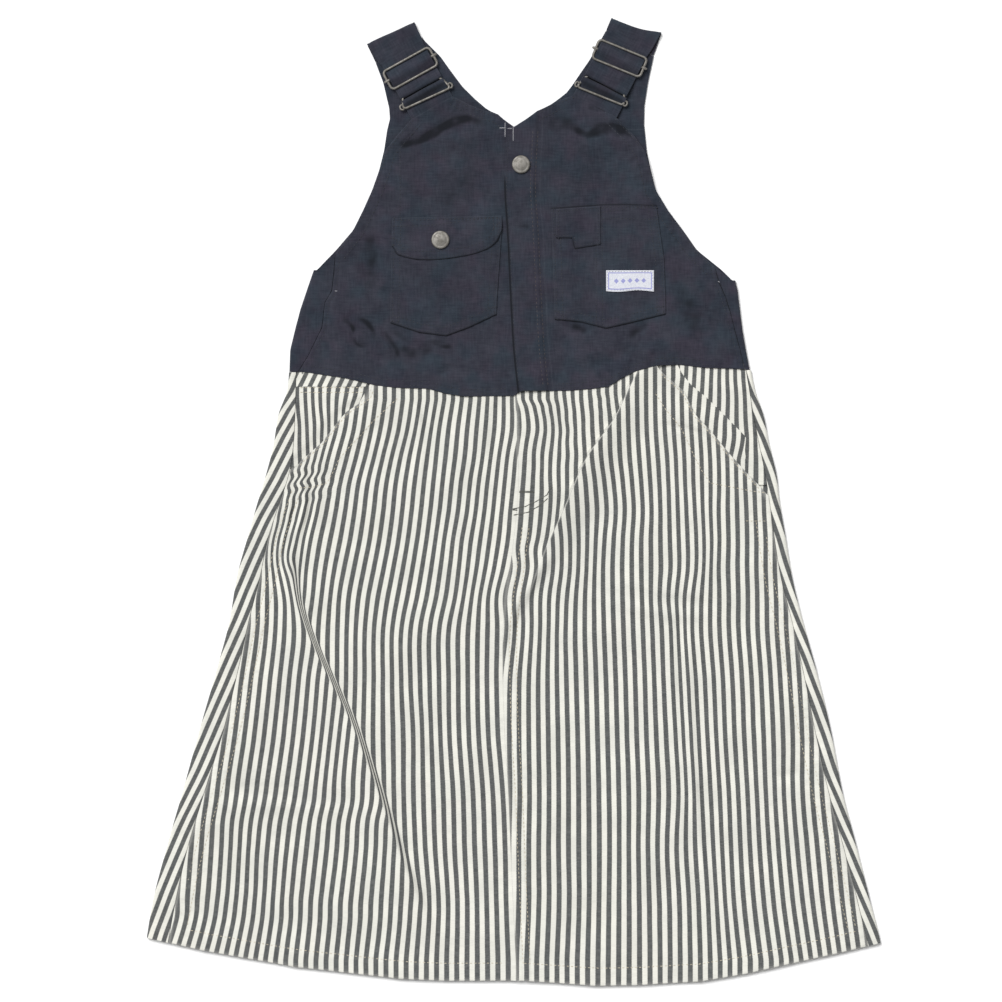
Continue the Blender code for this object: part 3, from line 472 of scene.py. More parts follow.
LEFT_OUTER_STRIPES = """y s36 s40 s44 s48 s51 s54 s57 s60 s64 s68
     0.070 0.0090 0.0335 0.0585 0.0840 0.1025 0.1205 0.1385 0.1560 0.1805 0.2050
     0.050 0.0090 0.0345 0.0590 0.0845 0.1030 0.1210 0.1385 0.1560 0.1805 0.2060
     0.032 0.0095 0.0345 0.0595 0.0855 0.1045 0.1220 0.1395 0.1570 0.1820 0.2070
     0.013 0.0110 0.0360 0.0620 0.0870 0.1055 0.1225 0.1400 0.1575 0.1825 0.2080
    -0.006 0.0120 0.0370 0.0635 0.0880 0.1060 0.1235 0.1395 0.1585 0.1825 0.2085
    -0.025 0.0150 0.0385 0.0620 0.0870 0.1065 0.1245 0.1400 0.1590 0.1840 0.2095
    -0.044 0.0155 0.0385 0.0610 0.0870 0.1070 0.1245 0.1395 0.1590 0.1840 0.2100
    -0.064 0.0125 0.0365 0.0610 0.0875 0.1055 0.1220 0.1400 0.1595 0.1850 0.2105
    -0.083 0.0125 0.0355 0.0615 0.0880 0.1070 0.1215 0.1400 0.1595 0.1855 0.2115
    -0.121 0.0105 0.0360 0.0630 0.0895 0.1085 0.1240 0.1425 0.1620 0.1880 0.2140
    -0.159 0.0105 0.0370 0.0640 0.0905 0.1105 0.1260 0.1440 0.1635 0.1900 0.2155
    -0.197 0.0110 0.0375 0.0650 0.0920 0.1125 0.1280 0.1465 0.1655 0.1900 0.2165
    -0.235 0.0105 0.0375 0.0655 0.0915 0.1110 0.1300 0.1480 0.1675 0.1930 0.2205
    -0.273 0.0105 0.0380 0.0650 0.0925 0.1130 0.1325 0.1500 0.1705 0.1970 0.2240
    -0.311 0.0090 0.0365 0.0645 0.0930 0.1135 0.1340 0.1540 0.1755 0.2025 0.2290"""
# The hip facings: the right one below the yoke's seam, and the left one above and below the step
# where its lower piece ends, with the x of that step.
RIGHT_FACING_STRIPES = """y s0 s1 s3 s5 s7
     0.079 -0.1470 -0.1415 -0.1315 -0.1190 -0.1065
     0.073 -0.1470 -0.1415 -0.1315 -0.1200 -0.1075
     0.063 -0.1465 -0.1410 -0.1310 -0.1205 -0.1105
     0.053 -0.1455 -0.1405 -0.1300 -0.1210 -0.1100
     0.043 -0.1455 -0.1400 -0.1305 -0.1205 -0.1100
     0.020 -0.1450 -0.1395 -0.1290 -0.1185 -0.1080"""
LEFT_FACING_STRIPES = """y s0 s2 s4 s6 s7
     0.092  0.1235  0.1350  0.1455  0.1560  0.1620
     0.083  0.1230  0.1345  0.1455  0.1565  0.1625
     0.070  0.1220  0.1340  0.1460  0.1575  0.1630
     0.056  0.1215  0.1335  0.1455  0.1580  0.1640
     0.043  0.1215  0.1335  0.1455  0.1590  0.1645
     0.029  0.1215  0.1335  0.1455  0.1585  0.1650
     0.015  0.1210  0.1330  0.1450  0.1580  0.1650"""
LEFT_STEP_STRIPES = """y s1 s3 s5 s7
     0.085  0.1275  0.1400  0.1530  0.1655
     0.070  0.1265  0.1395  0.1520  0.1645
     0.056  0.1255  0.1380  0.1500  0.1630
     0.043  0.1245  0.1370  0.1500  0.1620
     0.029  0.1220  0.1350  0.1475  0.1590"""
LEFT_STEP = """y x
     0.0950 0.1110
     0.0880 0.1145
     0.0800 0.1207
     0.0717 0.1310
     0.0602 0.1426
     0.0445 0.1582
     0.0350 0.1575
     0.0230 0.1590"""
STRIPE_PITCH = 0.0066

# The strips of the back cloth in front of the folded sides: how many stripes have passed the outer
# edge, by height. The stripes behind go over from these to straight ones within a distance.
SIDE_STRIPES = """y right_edge left_edge
     0.090 -1.10 -0.25
     0.070 -0.20 -0.65
     0.056  0.39 -0.96
     0.043  1.20 -1.50
     0.029  1.80 -1.82
     0.015  2.30 -2.17
     0.002  2.80 -2.53
    -0.012  3.35 -2.92
    -0.026  3.73 -3.28
    -0.039  4.07 -3.55
    -0.053  4.45 -3.90
    -0.066  4.97 -4.17
    -0.080  5.48 -4.48
    -0.100  6.08 -4.97
    -0.121  6.58 -5.35
    -0.141  7.03 -5.75
    -0.162  7.50 -6.22
    -0.182  8.00 -6.68
    -0.202  8.65 -7.33
    -0.216  9.10 -7.68
    -0.236  9.58 -8.25
    -0.257 10.05 -8.80
    -0.277 10.55 -9.35
    -0.291 11.00 -9.70
    -0.311 11.50 -10.20"""
SIDE_WHOLE = {"right_edge": 24, "left_edge": -26}
SIDE_FADE = 0.10

# The height below which the hip fold hides stripes and that at which it stops, the height at which
# the fold at the waist stops, and over how much height each change takes place.
HIP_HIDES = (-0.022, -0.285)
LAP_HIDES = -0.045
HIDES_FADE = 0.020
# How suddenly the stripes change over at the fold at the waist, how wide the painted highlight on
# its crest is, and how far beside each fold's crest the cloth has close columns.
LAP_STEP, CREST_HIGHLIGHT = 9.0, 0.0006
OVER_HIP, OVER_LAP = (-0.0040, 0.0085), (-0.0062, 0.0030)

# ---- Smaller folds, each a line bent through three points ----

# Height is that of a ridge, or below zero the depth of a trough, and width its half width. Each
# runs on by this share of its length past its ends, and fades out over this share within them.
CREASE_RUN, CREASE_END = 0.18, 0.32
SKIRT_CREASES = """x0 y0 x1 y1 x2 y2 height width
    -0.0934 -0.1170 -0.0770 -0.1450 -0.0510 -0.1850  0.0024  0.0060
    -0.0860 -0.1200 -0.0690 -0.1500 -0.0440 -0.1900 -0.0015  0.0070
    -0.1930 -0.1955 -0.1560 -0.1975 -0.1140 -0.2020 -0.0021  0.0045
    -0.1950 -0.2050 -0.1560 -0.2060 -0.1160 -0.2110  0.0014  0.0055
    -0.0920  0.0560 -0.0700  0.0380 -0.0450  0.0520 -0.0014  0.0110
    -0.1050  0.0330 -0.0850  0.0250 -0.0720  0.0150 -0.0015  0.0120
    -0.0680  0.0730 -0.0620  0.0450 -0.0640  0.0150  0.0015  0.0035
    -0.0640  0.0730 -0.0585  0.0450 -0.0600  0.0180 -0.0018  0.0030
    -0.0090  0.0700 -0.0140  0.0450 -0.0100  0.0180 -0.0014  0.0035
    -0.0250  0.0250 -0.0200 -0.0050 -0.0280 -0.0350 -0.0016  0.0100
    -0.0720 -0.1040 -0.0350 -0.1100  0.0000 -0.1200 -0.0014  0.0120
    -0.0520 -0.2050 -0.0350 -0.2200 -0.0180 -0.2450 -0.0015  0.0130
    -0.1870 -0.2150 -0.1700 -0.2450 -0.1500 -0.2850 -0.0018  0.0150
    -0.1450  0.0250 -0.1420  0.0000 -0.1480 -0.0200  0.0018  0.0022
    -0.1500  0.0200 -0.1475  0.0000 -0.1540 -0.0180 -0.0018  0.0022
    -0.1400  0.0280 -0.1370  0.0050 -0.1430 -0.0250 -0.0014  0.0024
    -0.1350  0.0300 -0.1320  0.0080 -0.1370 -0.0200  0.0012  0.0030
    -0.1530  0.0050 -0.1540 -0.0150 -0.1600 -0.0350  0.0015  0.0022
     0.0250 -0.0380  0.0050 -0.0650 -0.0060 -0.0950  0.0019  0.0045
     0.0330 -0.0350  0.0140 -0.0620  0.0010 -0.0950 -0.0014  0.0050
     0.0550 -0.0560  0.0950 -0.0660  0.1330 -0.0690 -0.0019  0.0045
     0.0600 -0.0640  0.0950 -0.0740  0.1300 -0.0770  0.0014  0.0055
     0.1150 -0.0600  0.1160 -0.1750  0.1290 -0.2900 -0.0025  0.0028
     0.1190 -0.0700  0.1215 -0.1850  0.1340 -0.2850  0.0021  0.0038
     0.0420 -0.0100  0.0550 -0.0280  0.0700 -0.0500 -0.0019  0.0110
     0.0350 -0.2150  0.0480 -0.2500  0.0560 -0.2900 -0.0018  0.0140
     0.0780 -0.1900  0.0850 -0.2250  0.0820 -0.2700  0.0015  0.0150
     0.1270 -0.1950  0.1350 -0.2050  0.1420 -0.2080 -0.0012  0.0040
     0.1780 -0.1850  0.1850 -0.1860  0.1940 -0.1840 -0.0014  0.0035
     0.1600 -0.0900  0.1750 -0.1500  0.1900 -0.2300  0.0018  0.0150
    -0.0120 -0.1300 -0.0130 -0.2000 -0.0080 -0.2900 -0.0009  0.0080
     0.1020  0.0520  0.1180  0.0500  0.1300  0.0440 -0.0015  0.0022
    -0.1550 -0.0950 -0.1750 -0.1400 -0.1950 -0.1850  0.0012  0.0130
    -0.0300 -0.2700 -0.0050 -0.2950  0.0250 -0.3000  0.0009  0.0100"""
BIB_CREASES = """x0 y0 x1 y1 x2 y2 height width
    -0.0780  0.2425 -0.0655  0.2455 -0.0520  0.2505 -0.0024  0.0028
    -0.0600  0.2480 -0.0500  0.2545 -0.0380  0.2595 -0.0024  0.0030
    -0.0440  0.2580 -0.0320  0.2605 -0.0190  0.2565 -0.0020  0.0034
    -0.0700  0.2370 -0.0480  0.2420 -0.0200  0.2530  0.0015  0.0060
     0.0255  0.2555  0.0350  0.2578  0.0440  0.2555 -0.0016  0.0042
     0.0440  0.2535  0.0500  0.2496  0.0560  0.2520 -0.0024  0.0030
     0.0555  0.2535  0.0660  0.2560  0.0775  0.2520 -0.0026  0.0024
     0.0520  0.2505  0.0640  0.2520  0.0760  0.2495 -0.0012  0.0044
     0.0768  0.2521  0.0797  0.2499  0.0797  0.2477 -0.0012  0.0017
     0.0503  0.2689  0.0560  0.2676  0.0616  0.2665 -0.0011  0.0015
     0.0280  0.2440  0.0480  0.2420  0.0700  0.2460  0.0014  0.0060
    -0.1160  0.1240 -0.1110  0.1214 -0.1090  0.1153 -0.0018  0.0020
    -0.1090  0.1166 -0.1070  0.1085 -0.0998  0.1057 -0.0018  0.0014
    -0.1052  0.1251 -0.0995  0.1218 -0.0953  0.1165 -0.0021  0.0020
    -0.0960  0.1180 -0.0935  0.1100 -0.0890  0.1035 -0.0015  0.0015
    -0.0890  0.1153 -0.0826  0.1089 -0.0782  0.0991 -0.0021  0.0018
    -0.0761  0.1046 -0.0664  0.1013 -0.0566  0.1046 -0.0015  0.0034
    -0.0556  0.1094 -0.0491  0.1067 -0.0415  0.1057 -0.0022  0.0015
    -0.0815  0.1164 -0.0739  0.1110 -0.0642  0.1089 -0.0010  0.0022
    -0.0492  0.0884 -0.0426  0.0916 -0.0383  0.0894 -0.0016  0.0024
    -0.1120  0.1180 -0.1060  0.1120 -0.1010  0.1090  0.0014  0.0022
    -0.0990  0.1170 -0.0940  0.1090 -0.0900  0.1010  0.0014  0.0020
    -0.0930  0.1170 -0.0880  0.1100 -0.0830  0.1010  0.0014  0.0020
    -0.0700  0.1130 -0.0600  0.1100 -0.0480  0.1120  0.0012  0.0030
    -0.1200  0.1060 -0.1080  0.1000 -0.0980  0.0900  0.0014  0.0050
    -0.0650  0.0960 -0.0450  0.0920 -0.0200  0.0950  0.0011  0.0060
     0.0380  0.1200  0.0440  0.1190  0.0500  0.1160 -0.0017  0.0024
     0.0920  0.1210  0.0860  0.1180  0.0800  0.1120 -0.0017  0.0026
     0.0700  0.1100  0.0850  0.1040  0.0980  0.1080  0.0014  0.0045
     0.0250  0.1050  0.0420  0.1000  0.0620  0.1040  0.0011  0.0060
     0.1080  0.1500  0.1180  0.1350  0.1250  0.1120 -0.0012  0.0060
     0.1120  0.1700  0.1060  0.1500  0.1080  0.1300  0.0011  0.0060
    -0.1000  0.1900 -0.0960  0.1650 -0.1010  0.1400 -0.0011  0.0050
    -0.1080  0.1650 -0.1090  0.1500 -0.1150  0.1380  0.0011  0.0050
    -0.0250  0.2250 -0.0350  0.2120 -0.0500  0.2050 -0.0008  0.0060
     0.0030  0.1500  0.0100  0.1360  0.0160  0.1280 -0.0008  0.0022
     0.0040  0.1870  0.0080  0.1880  0.0110  0.1860 -0.0012  0.0016"""
POCKET_CREASES = """x0 y0 x1 y1 x2 y2 height width
    -0.0780  0.1500 -0.0600  0.1380 -0.0400  0.1420 -0.0008  0.0055
    -0.0300  0.1560 -0.0220  0.1420 -0.0240  0.1280  0.0008  0.0050
    -0.0700  0.1300 -0.0520  0.1240 -0.0350  0.1250 -0.0006  0.0040
     0.0350  0.1600  0.0460  0.1480  0.0400  0.1320  0.0008  0.0045
     0.0680  0.1380  0.0820  0.1330  0.0960  0.1370 -0.0008  0.0045
     0.0700  0.1800  0.0850  0.1740  0.0980  0.1800  0.0006  0.0060
     0.0700  0.1660  0.0720  0.1654  0.0750  0.1658 -0.0010  0.0014"""

# ---- Straps: how they differ from level ribbons ----

# How far the fold at the shoulder rises at its corners and sags between them, how much wider the
# strap is there on either side, and how much further its lower layer reaches at the shoulder's
# outer corner.
FOLDS = {
    "right": dict(rise=0.0008, sag=0.0000, wider=0.0010, outwards=-1, corner=0.0018),
    "left": dict(rise=0.0012, sag=0.0019, wider=0.0006, outwards=1, corner=0.0030),
}
# The turn of each slider and loop against its strap in degrees, and how much longer its bars are.
SLIDERS = {"right": dict(turn=0.0, longer=0.0011), "left": dict(turn=-4.8, longer=0.0008)}
LOOPS = {"right": dict(turn=4.4, longer=0.0016), "left": dict(turn=-5.2, longer=0.0012)}

# ---- Sewing: how far the rows of stitches lie from the edges they follow ----

HEM_DEPTH = 0.0120
SEAM_ROWS = (0.0054, 0.0109)
MOUTH_ROWS = (0.0016, 0.0175)
CENTRE_ROWS = (0.0048, 0.0095)
EDGE_ROW = 0.0016
DOUBLE_ROW = 0.0058
ARMHOLE_HEM = 0.0072
# How wide the painted shadow line along an edge is. The placket's band: how far its far edge dips,
# the least share of the painted shadow along its near edge, and the height below which that
# painted shadow grows.
EDGE_SHADE = 0.0010
BAND_DIP, BAND_SHADE, BAND_SHADE_TOP = 0.00012, 0.30, 0.2260
# How far a piece runs on under its neighbour's seam, how far beside a felled seam the cloth's edge
# isn't rolled, and how far the two pieces touch there.
SEAM_TUCK = 0.0012
BESIDE_SEAM, SEAM_TOUCH = 0.0020, 0.00003
# Where the cloth is gathered below the right pocket's mouth: its middle, its reach, the waves'
# pitch, and how many stripes they shift.
GATHERS, GATHERS_REACH = (-0.1430, 0.0135), (0.0140, 0.0100)
GATHERS_PITCH, GATHERS_SHIFT = 0.0098, 0.30
STITCH_PITCH, STITCH_LENGTH = 0.0029, 0.0021
THREAD = 0.00024
# The two rows that divide the left chest pocket, with their top and foot and how far they lean, and
# the seam beside the pens' room.
DIVIDER, DIVIDER_RUN, DIVIDER_LEAN = (0.0560, 0.0602), (0.2010, 0.1215), 0.0005
PEN_ROOM = 0.0592
FLAP_ROW_RUN = (-0.0800, -0.0100)

# The heights at which the rows beside a side seam start and those beside a pocket's mouth end, and
# between which the rows beside the centre seam run.
ROW_ENDS = {"right": (0.0095, 0.0255), "left": (-0.0126, 0.0075)}
CENTRE_ROW_ENDS = (-0.013, -0.324)
# How far the side rows end above the hem's edge, and the hem's row beside the centre and side seams.
ROW_OVER_HEM, HEM_ROW_CLEAR = 0.004, (0.001, 0.002)
# The bib: rows beside the side seam and above the waist, with where the latter run, those down the
# placket with the heights they run between, and a row down the right half: its x, top and foot.
FLANK_ROW = 0.0030
WAIST_ROWS = (0.0020, 0.0050)
WAIST_RUNS = {"right": (-0.138, -0.004), "left": (0.030, 0.146)}
PLACKET_ROWS, PLACKET_RUN = (0.0030, 0.0064), (0.2530, 0.0790)
RIGHT_HALF_ROW = (-0.0770, 0.2420, 0.1480)
POCKET_TOP_ROWS, FLAP_TOP_ROW = (0.0018, 0.0100), 0.0018
PLACKET_CROWN = """x y
    0.0018 0.2558
    0.0168 0.2664
    0.0300 0.2728"""

# Rows of stitches that follow no edge, each a run of x and y.
RIGHT_POCKET_BAG = """x y
    -0.0784 0.0711
    -0.0954 0.0554
    -0.1022 0.0473
    -0.1104 0.0391
    -0.1185 0.0296
    -0.1226 0.0207
    -0.1267 0.0133
    -0.1362 0.0105
    -0.1457 0.0099"""
# The seam across the right hip facing: its height, how much higher the cloth lies above it, how
# the stripes lean there, and the heights and the ends of the two rows below it.
YOKE_SEAM, YOKE_LIFT, YOKE_LEAN = 0.0788, 0.0004, 0.48
YOKE_ROWS, YOKE_RUN = (0.0781, 0.0749), (-0.1455, -0.1010)
LEFT_POCKET_BAG = """x y
    0.0964 0.0745
    0.1038 0.0629
    0.1140 0.0507
    0.1174 0.0439
    0.1229 0.0316
    0.1283 0.0214
    0.1338 0.0133
    0.1480 0.0105
    0.1616 0.0078
    0.1725 0.0065"""
FLY_UPPER = """x y
    -0.0002 -0.0044
     0.0080 -0.0028
     0.0165  0.0012
     0.0225  0.0050
     0.0256  0.0100"""
FLY_LOWER = """x y
     0.0005 -0.0085
     0.0095 -0.0068
     0.0165 -0.0030
     0.0225  0.0020"""

# Bar tacks: the skirt's two at the fly, and the bib's at the neck, the armholes and the placket.
FLY_TACKS = (
    ((0.0040, 0.0068), (0.0145, 0.0068)),
    ((0.0040, 0.0076), (0.0145, 0.0076)),
    ((-0.0004, -0.0050), (0.0030, -0.0052)),
)
BIB_TACKS = {
    "right": (
        ((-0.0093, 0.2547), (-0.0050, 0.2547)),
        ((-0.0056, 0.2583), (-0.0056, 0.2487)),
        ((-0.1199, 0.1438), (-0.1212, 0.1438)),
    ),
    "left": (((0.1392, 0.1503), (0.1402, 0.1499)),),
}
PLACKET_TACKS = (
    ((-0.0038, 0.2542), (-0.0012, 0.2542)),
    ((-0.0001, 0.2550), (-0.0001, 0.2462)),
)
LEFT_MOUTH_TACK = ((0.1576, -0.0126), (0.1725, -0.0126))

# Kinds of stitches other than the topstitching: pitch, length and the thread's radius.
BESIDE_EDGE = dict(pitch=0.0026, length=0.0018)
FLY_STITCHES = dict(pitch=0.0026, length=0.0036, radius=0.00034)
FLY_TACK = dict(pitch=0.0008, length=0.0011, radius=0.00034)
BIB_TACK = dict(pitch=0.0007, length=0.0011, radius=0.00032)
PLACKET_TACK = dict(pitch=0.0007, length=0.0011, radius=0.00030)
LABEL_STITCHES = dict(pitch=0.0020, length=0.0014, radius=0.00016)

# ---- How the cloth lies ----

# Its long waves: how often each comes along x and along y, and its phase, all slowed by a rate.
UNREST = ((41.0, 17.0, 0.7), (-23.0, 52.0, 2.1), (71.0, -38.0, 4.0), (12.0, 93.0, 5.3))
UNREST_RATE = 0.35
# Puckers beside a row of stitches: height, pitch and reach, and how they sway along the row.
PUCKER, PUCKER_PITCH, PUCKER_REACH = 0.00022, 0.0075, 0.0045
PUCKER_SWAY, SWAY_PITCH = 1.5, 5.3
# The lift of a turned edge, the depth of a stitched groove, and how wide the slopes of both are.
EDGE_LIFT, GROOVE_DEPTH, SLOPE = 0.0004, 0.00035, 0.0009
# The lengths of the hem, a side seam, a pocket's mouth, an armhole, the neck and the bib's side seam.
HEM_RUN, SEAM_RUN, MOUTH_RUN = 0.53, 0.42, 0.10
ARMHOLE_RUN, NECK_RUN, FLANK_RUN = 0.13, 0.08, 0.08
# Puckers where the cloth is pulled hardest, and the waves of the straps: their height and pitch.
HARD_PUCKER = 0.0003
STRAP_WAVE, STRAP_WAVE_PITCH = 0.00016, 0.021
# Between which places the skirt's edges are read: the hem's x, and the others' heights.
HEM_ENDS, SEAM_ENDS, CENTRE_ENDS = (-0.26, 0.26), (0.095, -0.320), (0.080, -0.335)
MOUTH_ENDS = {"right": (0.090, 0.0245), "left": (0.095, 0.0060)}
# The height below which the side seams are felled, and over how much height that starts.
FELLED_FROM, FELLED_FADE = 0.010, 0.012
# How far the folds, puckers and hems may press the front and the bib below their level.
SKIRT_PRESSED, BIB_PRESSED = 0.0009, 0.0007
# How soon the stripes change over on the hip fold's steep side, and the label's height over its
# pocket.
HIP_SQUEEZE, LABEL_LIFT = 0.9, 0.00035
# How far from an edge the skirt and the bib are pale from wear, and at what depth a fold's painted shade is
# full.
SKIRT_RUBBED, BIB_RUBBED = 0.0012, 0.0011
SKIRT_FOLD_SHADE_DEPTH, BIB_FOLD_SHADE_DEPTH = 0.0020, 0.0021


# ---- Reading the tables ----


def columns_of(text):
    """The named columns of a table, as arrays."""
    head, *rows = text.splitlines()
    return dict(zip(head.split(), np.array([row.split() for row in rows], float).T))


def row_of(text):
    """The points of a table of x and y."""
    rows = columns_of(text)
    return np.stack([rows["x"], rows["y"]], axis=1)


def straight(text, value, along="y"):
    """A function that reads a column along straight lines between the rows."""
    rows = columns_of(text)
    order = np.argsort(rows[along])
    return lambda at: np.interp(at, rows[along][order], rows[value][order])


def curve(text, value, along="y"):
    """A function that reads a column along a smooth curve through the rows: between two rows it is
    the cubic whose ends have their values and the slopes of their neighbours (Hermite)."""
    rows = columns_of(text)
    order = np.argsort(rows[along])
    knots, values = rows[along][order], rows[value][order]
    slopes = np.gradient(values, knots)

    def read(at):
        at = np.clip(at, knots[0], knots[-1])
        i = np.clip(np.searchsorted(knots, at) - 1, 0, len(knots) - 2)
        step = knots[i + 1] - knots[i]
        t = (at - knots[i]) / step
        start = (1 + 2 * t) * (1 - t) ** 2 * values[i] + t * (1 - t) ** 2 * step * slopes[i]
        end = t**2 * (3 - 2 * t) * values[i + 1] - t**2 * (1 - t) * step * slopes[i + 1]
        return start + end

    return read


def stripe_field(text):
    """The stripe count at x and y. In each row the guide stripes' count rises evenly from one guide
    to the next, and past the outer guides it goes on at the rate of the outer pair."""
    names = text.split("\n")[0].split()[1:]
    counts = np.array([float(name[1:]) for name in names])
    lines = [curve(text, name) for name in names]
    low, high = np.zeros(len(names) - 1), np.ones(len(names) - 1)
    low[0], high[-1] = -np.inf, np.inf

    def read(x, y):
        guides = np.stack([line(y) + 0 * x for line in lines])
        share = (x - guides[:-1]) / np.diff(guides, axis=0)
        share = np.clip(share, low[:, None, None], high[:, None, None])
        return counts[0] + (share * np.diff(counts)[:, None, None]).sum(axis=0)

    return read


def ease(t):
    """From 0 to 1 with level ends: 3t^2 - 2t^3."""
    t = np.clip(t, 0, 1)
    return t * t * (3 - 2 * t)


def along_line(x, y, points):
    """How far each place lies from a run of points, and how far along the run its nearest point is,
    as a share of the run: the least distance to any of its straight stretches."""
    points = np.asarray(points, float)
    steps = np.diff(points, axis=0)
    lengths = np.hypot(steps[:, 0], steps[:, 1])
    before = np.concatenate([[0], np.cumsum(lengths)])
    nearest, share = np.full(np.shape(x), np.inf), np.zeros(np.shape(x))
    for start, step, length, run in zip(points, steps, lengths, before):
        t = ((x - start[0]) * step[0] + (y - start[1]) * step[1]) / length**2
        t = np.clip(t, 0, 1)
        away = np.hypot(x - start[0] - t * step[0], y - start[1] - t * step[1])
        closer = away < nearest
        nearest = np.where(closer, away, nearest)
        share = np.where(closer, (run + t * length) / before[-1], share)
    return nearest, share


def bent(row):
    """Points of the curve that passes a crease's three points and runs on past its ends."""
    t = np.linspace(-CREASE_RUN, 1 + CREASE_RUN, 11)[:, None]
    start, middle, end = np.array(row[0:2]), np.array(row[2:4]), np.array(row[4:6])
    pull = 2 * middle - (start + end) / 2
    return (1 - t) ** 2 * start + 2 * t * (1 - t) * pull + t**2 * end


def creases(text, x, y):
    """Sum of the small folds: across each, a bell curve exp(-(distance / width)^2), and along it
    full height in the middle, fading out towards its ends."""
    total = np.zeros(np.shape(x))
    for row in text.splitlines()[1:]:
        numbers = [float(word) for word in row.split()]
        height, width = numbers[6:]
        away, share = along_line(x, y, bent(numbers))
        fade = ease(np.minimum(share, 1 - share) / CREASE_END)
        total += height * fade * np.exp(-((away / width) ** 2))
    return total


def painted_fold_light(relief, deep):
    """Painted light for small folds: painted shade in their troughs, down to -1 at a depth, and a
    faint painted highlight on their ridges."""
    return np.clip(relief / deep, -1, 0) + 0.25 * np.clip(relief / deep, 0, 1)


def unrest(x, y, size, seed=0.0):
    """The cloth's slight unevenness: a few long waves that cross each other at odd angles."""
    total = np.zeros(np.shape(x))
    for along_x, along_y, phase in UNREST:
        total += np.sin(2 * pi * UNREST_RATE * (along_x * x + along_y * y) + phase + seed)
    return size * total / len(UNREST)


def puckers(distance, run, size=PUCKER):
    """Small waves beside a row of stitches: a sine along the seam that sways, and dies away from the
    seam as a bell curve of the distance."""
    sway = PUCKER_SWAY * np.sin(2 * pi * run / (SWAY_PITCH * PUCKER_PITCH))
    wave = np.sin(2 * pi * run / PUCKER_PITCH + sway)
    return size * wave * np.exp(-((distance / PUCKER_REACH) ** 2))


def band(distance, width, lift=EDGE_LIFT):
    """A turned or felled edge: the cloth lies higher within a width of it, and slopes down after."""
    return lift * ease(1 - (distance - width) / SLOPE)


def groove(distance, at, depth=GROOVE_DEPTH):
    """The line that a row of stitches pulls into the cloth: a bell curve across it."""
    return -depth * np.exp(-(((distance - at) / SLOPE) ** 2))


# ---- Shader maths ----


class Term:
    """One socket of a material. Arithmetic on it adds Math nodes, so that shader maths is written
    as an expression."""

    def __init__(self, surface, socket):
        self.surface, self.socket = surface, socket

    def math(self, operation, *values):
        """A Math node of an operation, fed with values in their order."""
        settings = dict(operation=operation)
        return self.surface.node("ShaderNodeMath", settings, dict(enumerate(values)))

    def __add__(self, other):
        return self.math("ADD", self, other)

    __radd__ = __add__

    def __sub__(self, other):
        return self.math("SUBTRACT", self, other)

    def __rsub__(self, other):
        return self.math("SUBTRACT", other, self)

    def __mul__(self, other):
        return self.math("MULTIPLY", self, other)

    __rmul__ = __mul__

    def sin(self):
        """The sine of the value, in radians."""
        return self.math("SINE", self)

    def abs(self):
        """The value without its sign."""
        return self.math("ABSOLUTE", self)

    def rise(self, low, high):
        """From 0 at low to 1 at high, with level ends."""
        settings = dict(interpolation_type="SMOOTHSTEP")
        values = {"Value": self, "From Min": low, "From Max": high}
        return self.surface.node("ShaderNodeMapRange", settings, values)


class Surface:
    """A material being made. node() adds any node, and the other methods are nodes used often."""

    def __init__(self, name):
        self.made = bpy.data.materials.new(name)
        self.made.use_nodes = True
        self.tree = self.made.node_tree
        self.shader = self.tree.nodes["Principled BSDF"]

    def node(self, kind, settings, values, output=0):
        """A node of a kind, with its settings set first, then its sockets' values or links."""
        made = self.tree.nodes.new(kind)
        for name, value in settings.items():
            setattr(made, name, value)
        for name, value in values.items():
            self.feed(made.inputs[name], value)
        return Term(self, made.outputs[output])

    def feed(self, socket, value):
        """A link where the value is a socket, and a number or colour otherwise."""
        if isinstance(value, Term):
            self.tree.links.new(value.socket, socket)
        else:
            socket.default_value = value

    def place(self):
        """A point of the object, in metres."""
        return self.node("ShaderNodeTexCoord", {}, {}, "Object")

    def cloth_map(self):
        """The piece's own map: across the stripes or the warp, and along them, in metres."""
        return self.node("ShaderNodeUVMap", dict(uv_map="cloth"), {})

    def mark(self, name):
        """A number that the piece's mesh carries at its points."""
        return self.node("ShaderNodeAttribute", dict(attribute_name=name), {}, "Fac")

    def parts(self, vector):
        """The x, y and z of a vector."""
        split = self.node("ShaderNodeSeparateXYZ", {}, {"Vector": vector}).socket.node
        return [Term(self, output) for output in split.outputs]

    def stretched(self, vector, scale):
        """A vector with its parts scaled, so that a noise on it is drawn out."""
        return self.node("ShaderNodeMapping", {}, {"Vector": vector, "Scale": scale})

    def noise(self, vector, scale, detail=3.0, roughness=0.55, output="Fac"):
        """Cloudy noise of a vector, with its scale in clouds a metre."""
        values = {"Vector": vector, "Scale": scale, "Detail": detail, "Roughness": roughness}
        return self.node("ShaderNodeTexNoise", {}, values, output)

    def blend(self, share, first, second, way="MIX"):
        """From the first colour to the second by a share."""
        settings = dict(data_type="RGBA", blend_type=way, clamp_result=False)
        return self.node("ShaderNodeMix", settings, {0: share, 6: first, 7: second}, 2)

    def finish(self, **values):
        """Feed the shader: colour, roughness and height go by their socket's name."""
        if "height" in values:
            relief = {"Distance": values.pop("depth"), "Height": values.pop("height")}
            values["Normal"] = self.node("ShaderNodeBump", {}, {"Strength": 1.0, **relief})
        for name, value in values.items():
            self.feed(self.shader.inputs[name.replace("_", " ")], value)
        return self.made


# ---- Materials ----

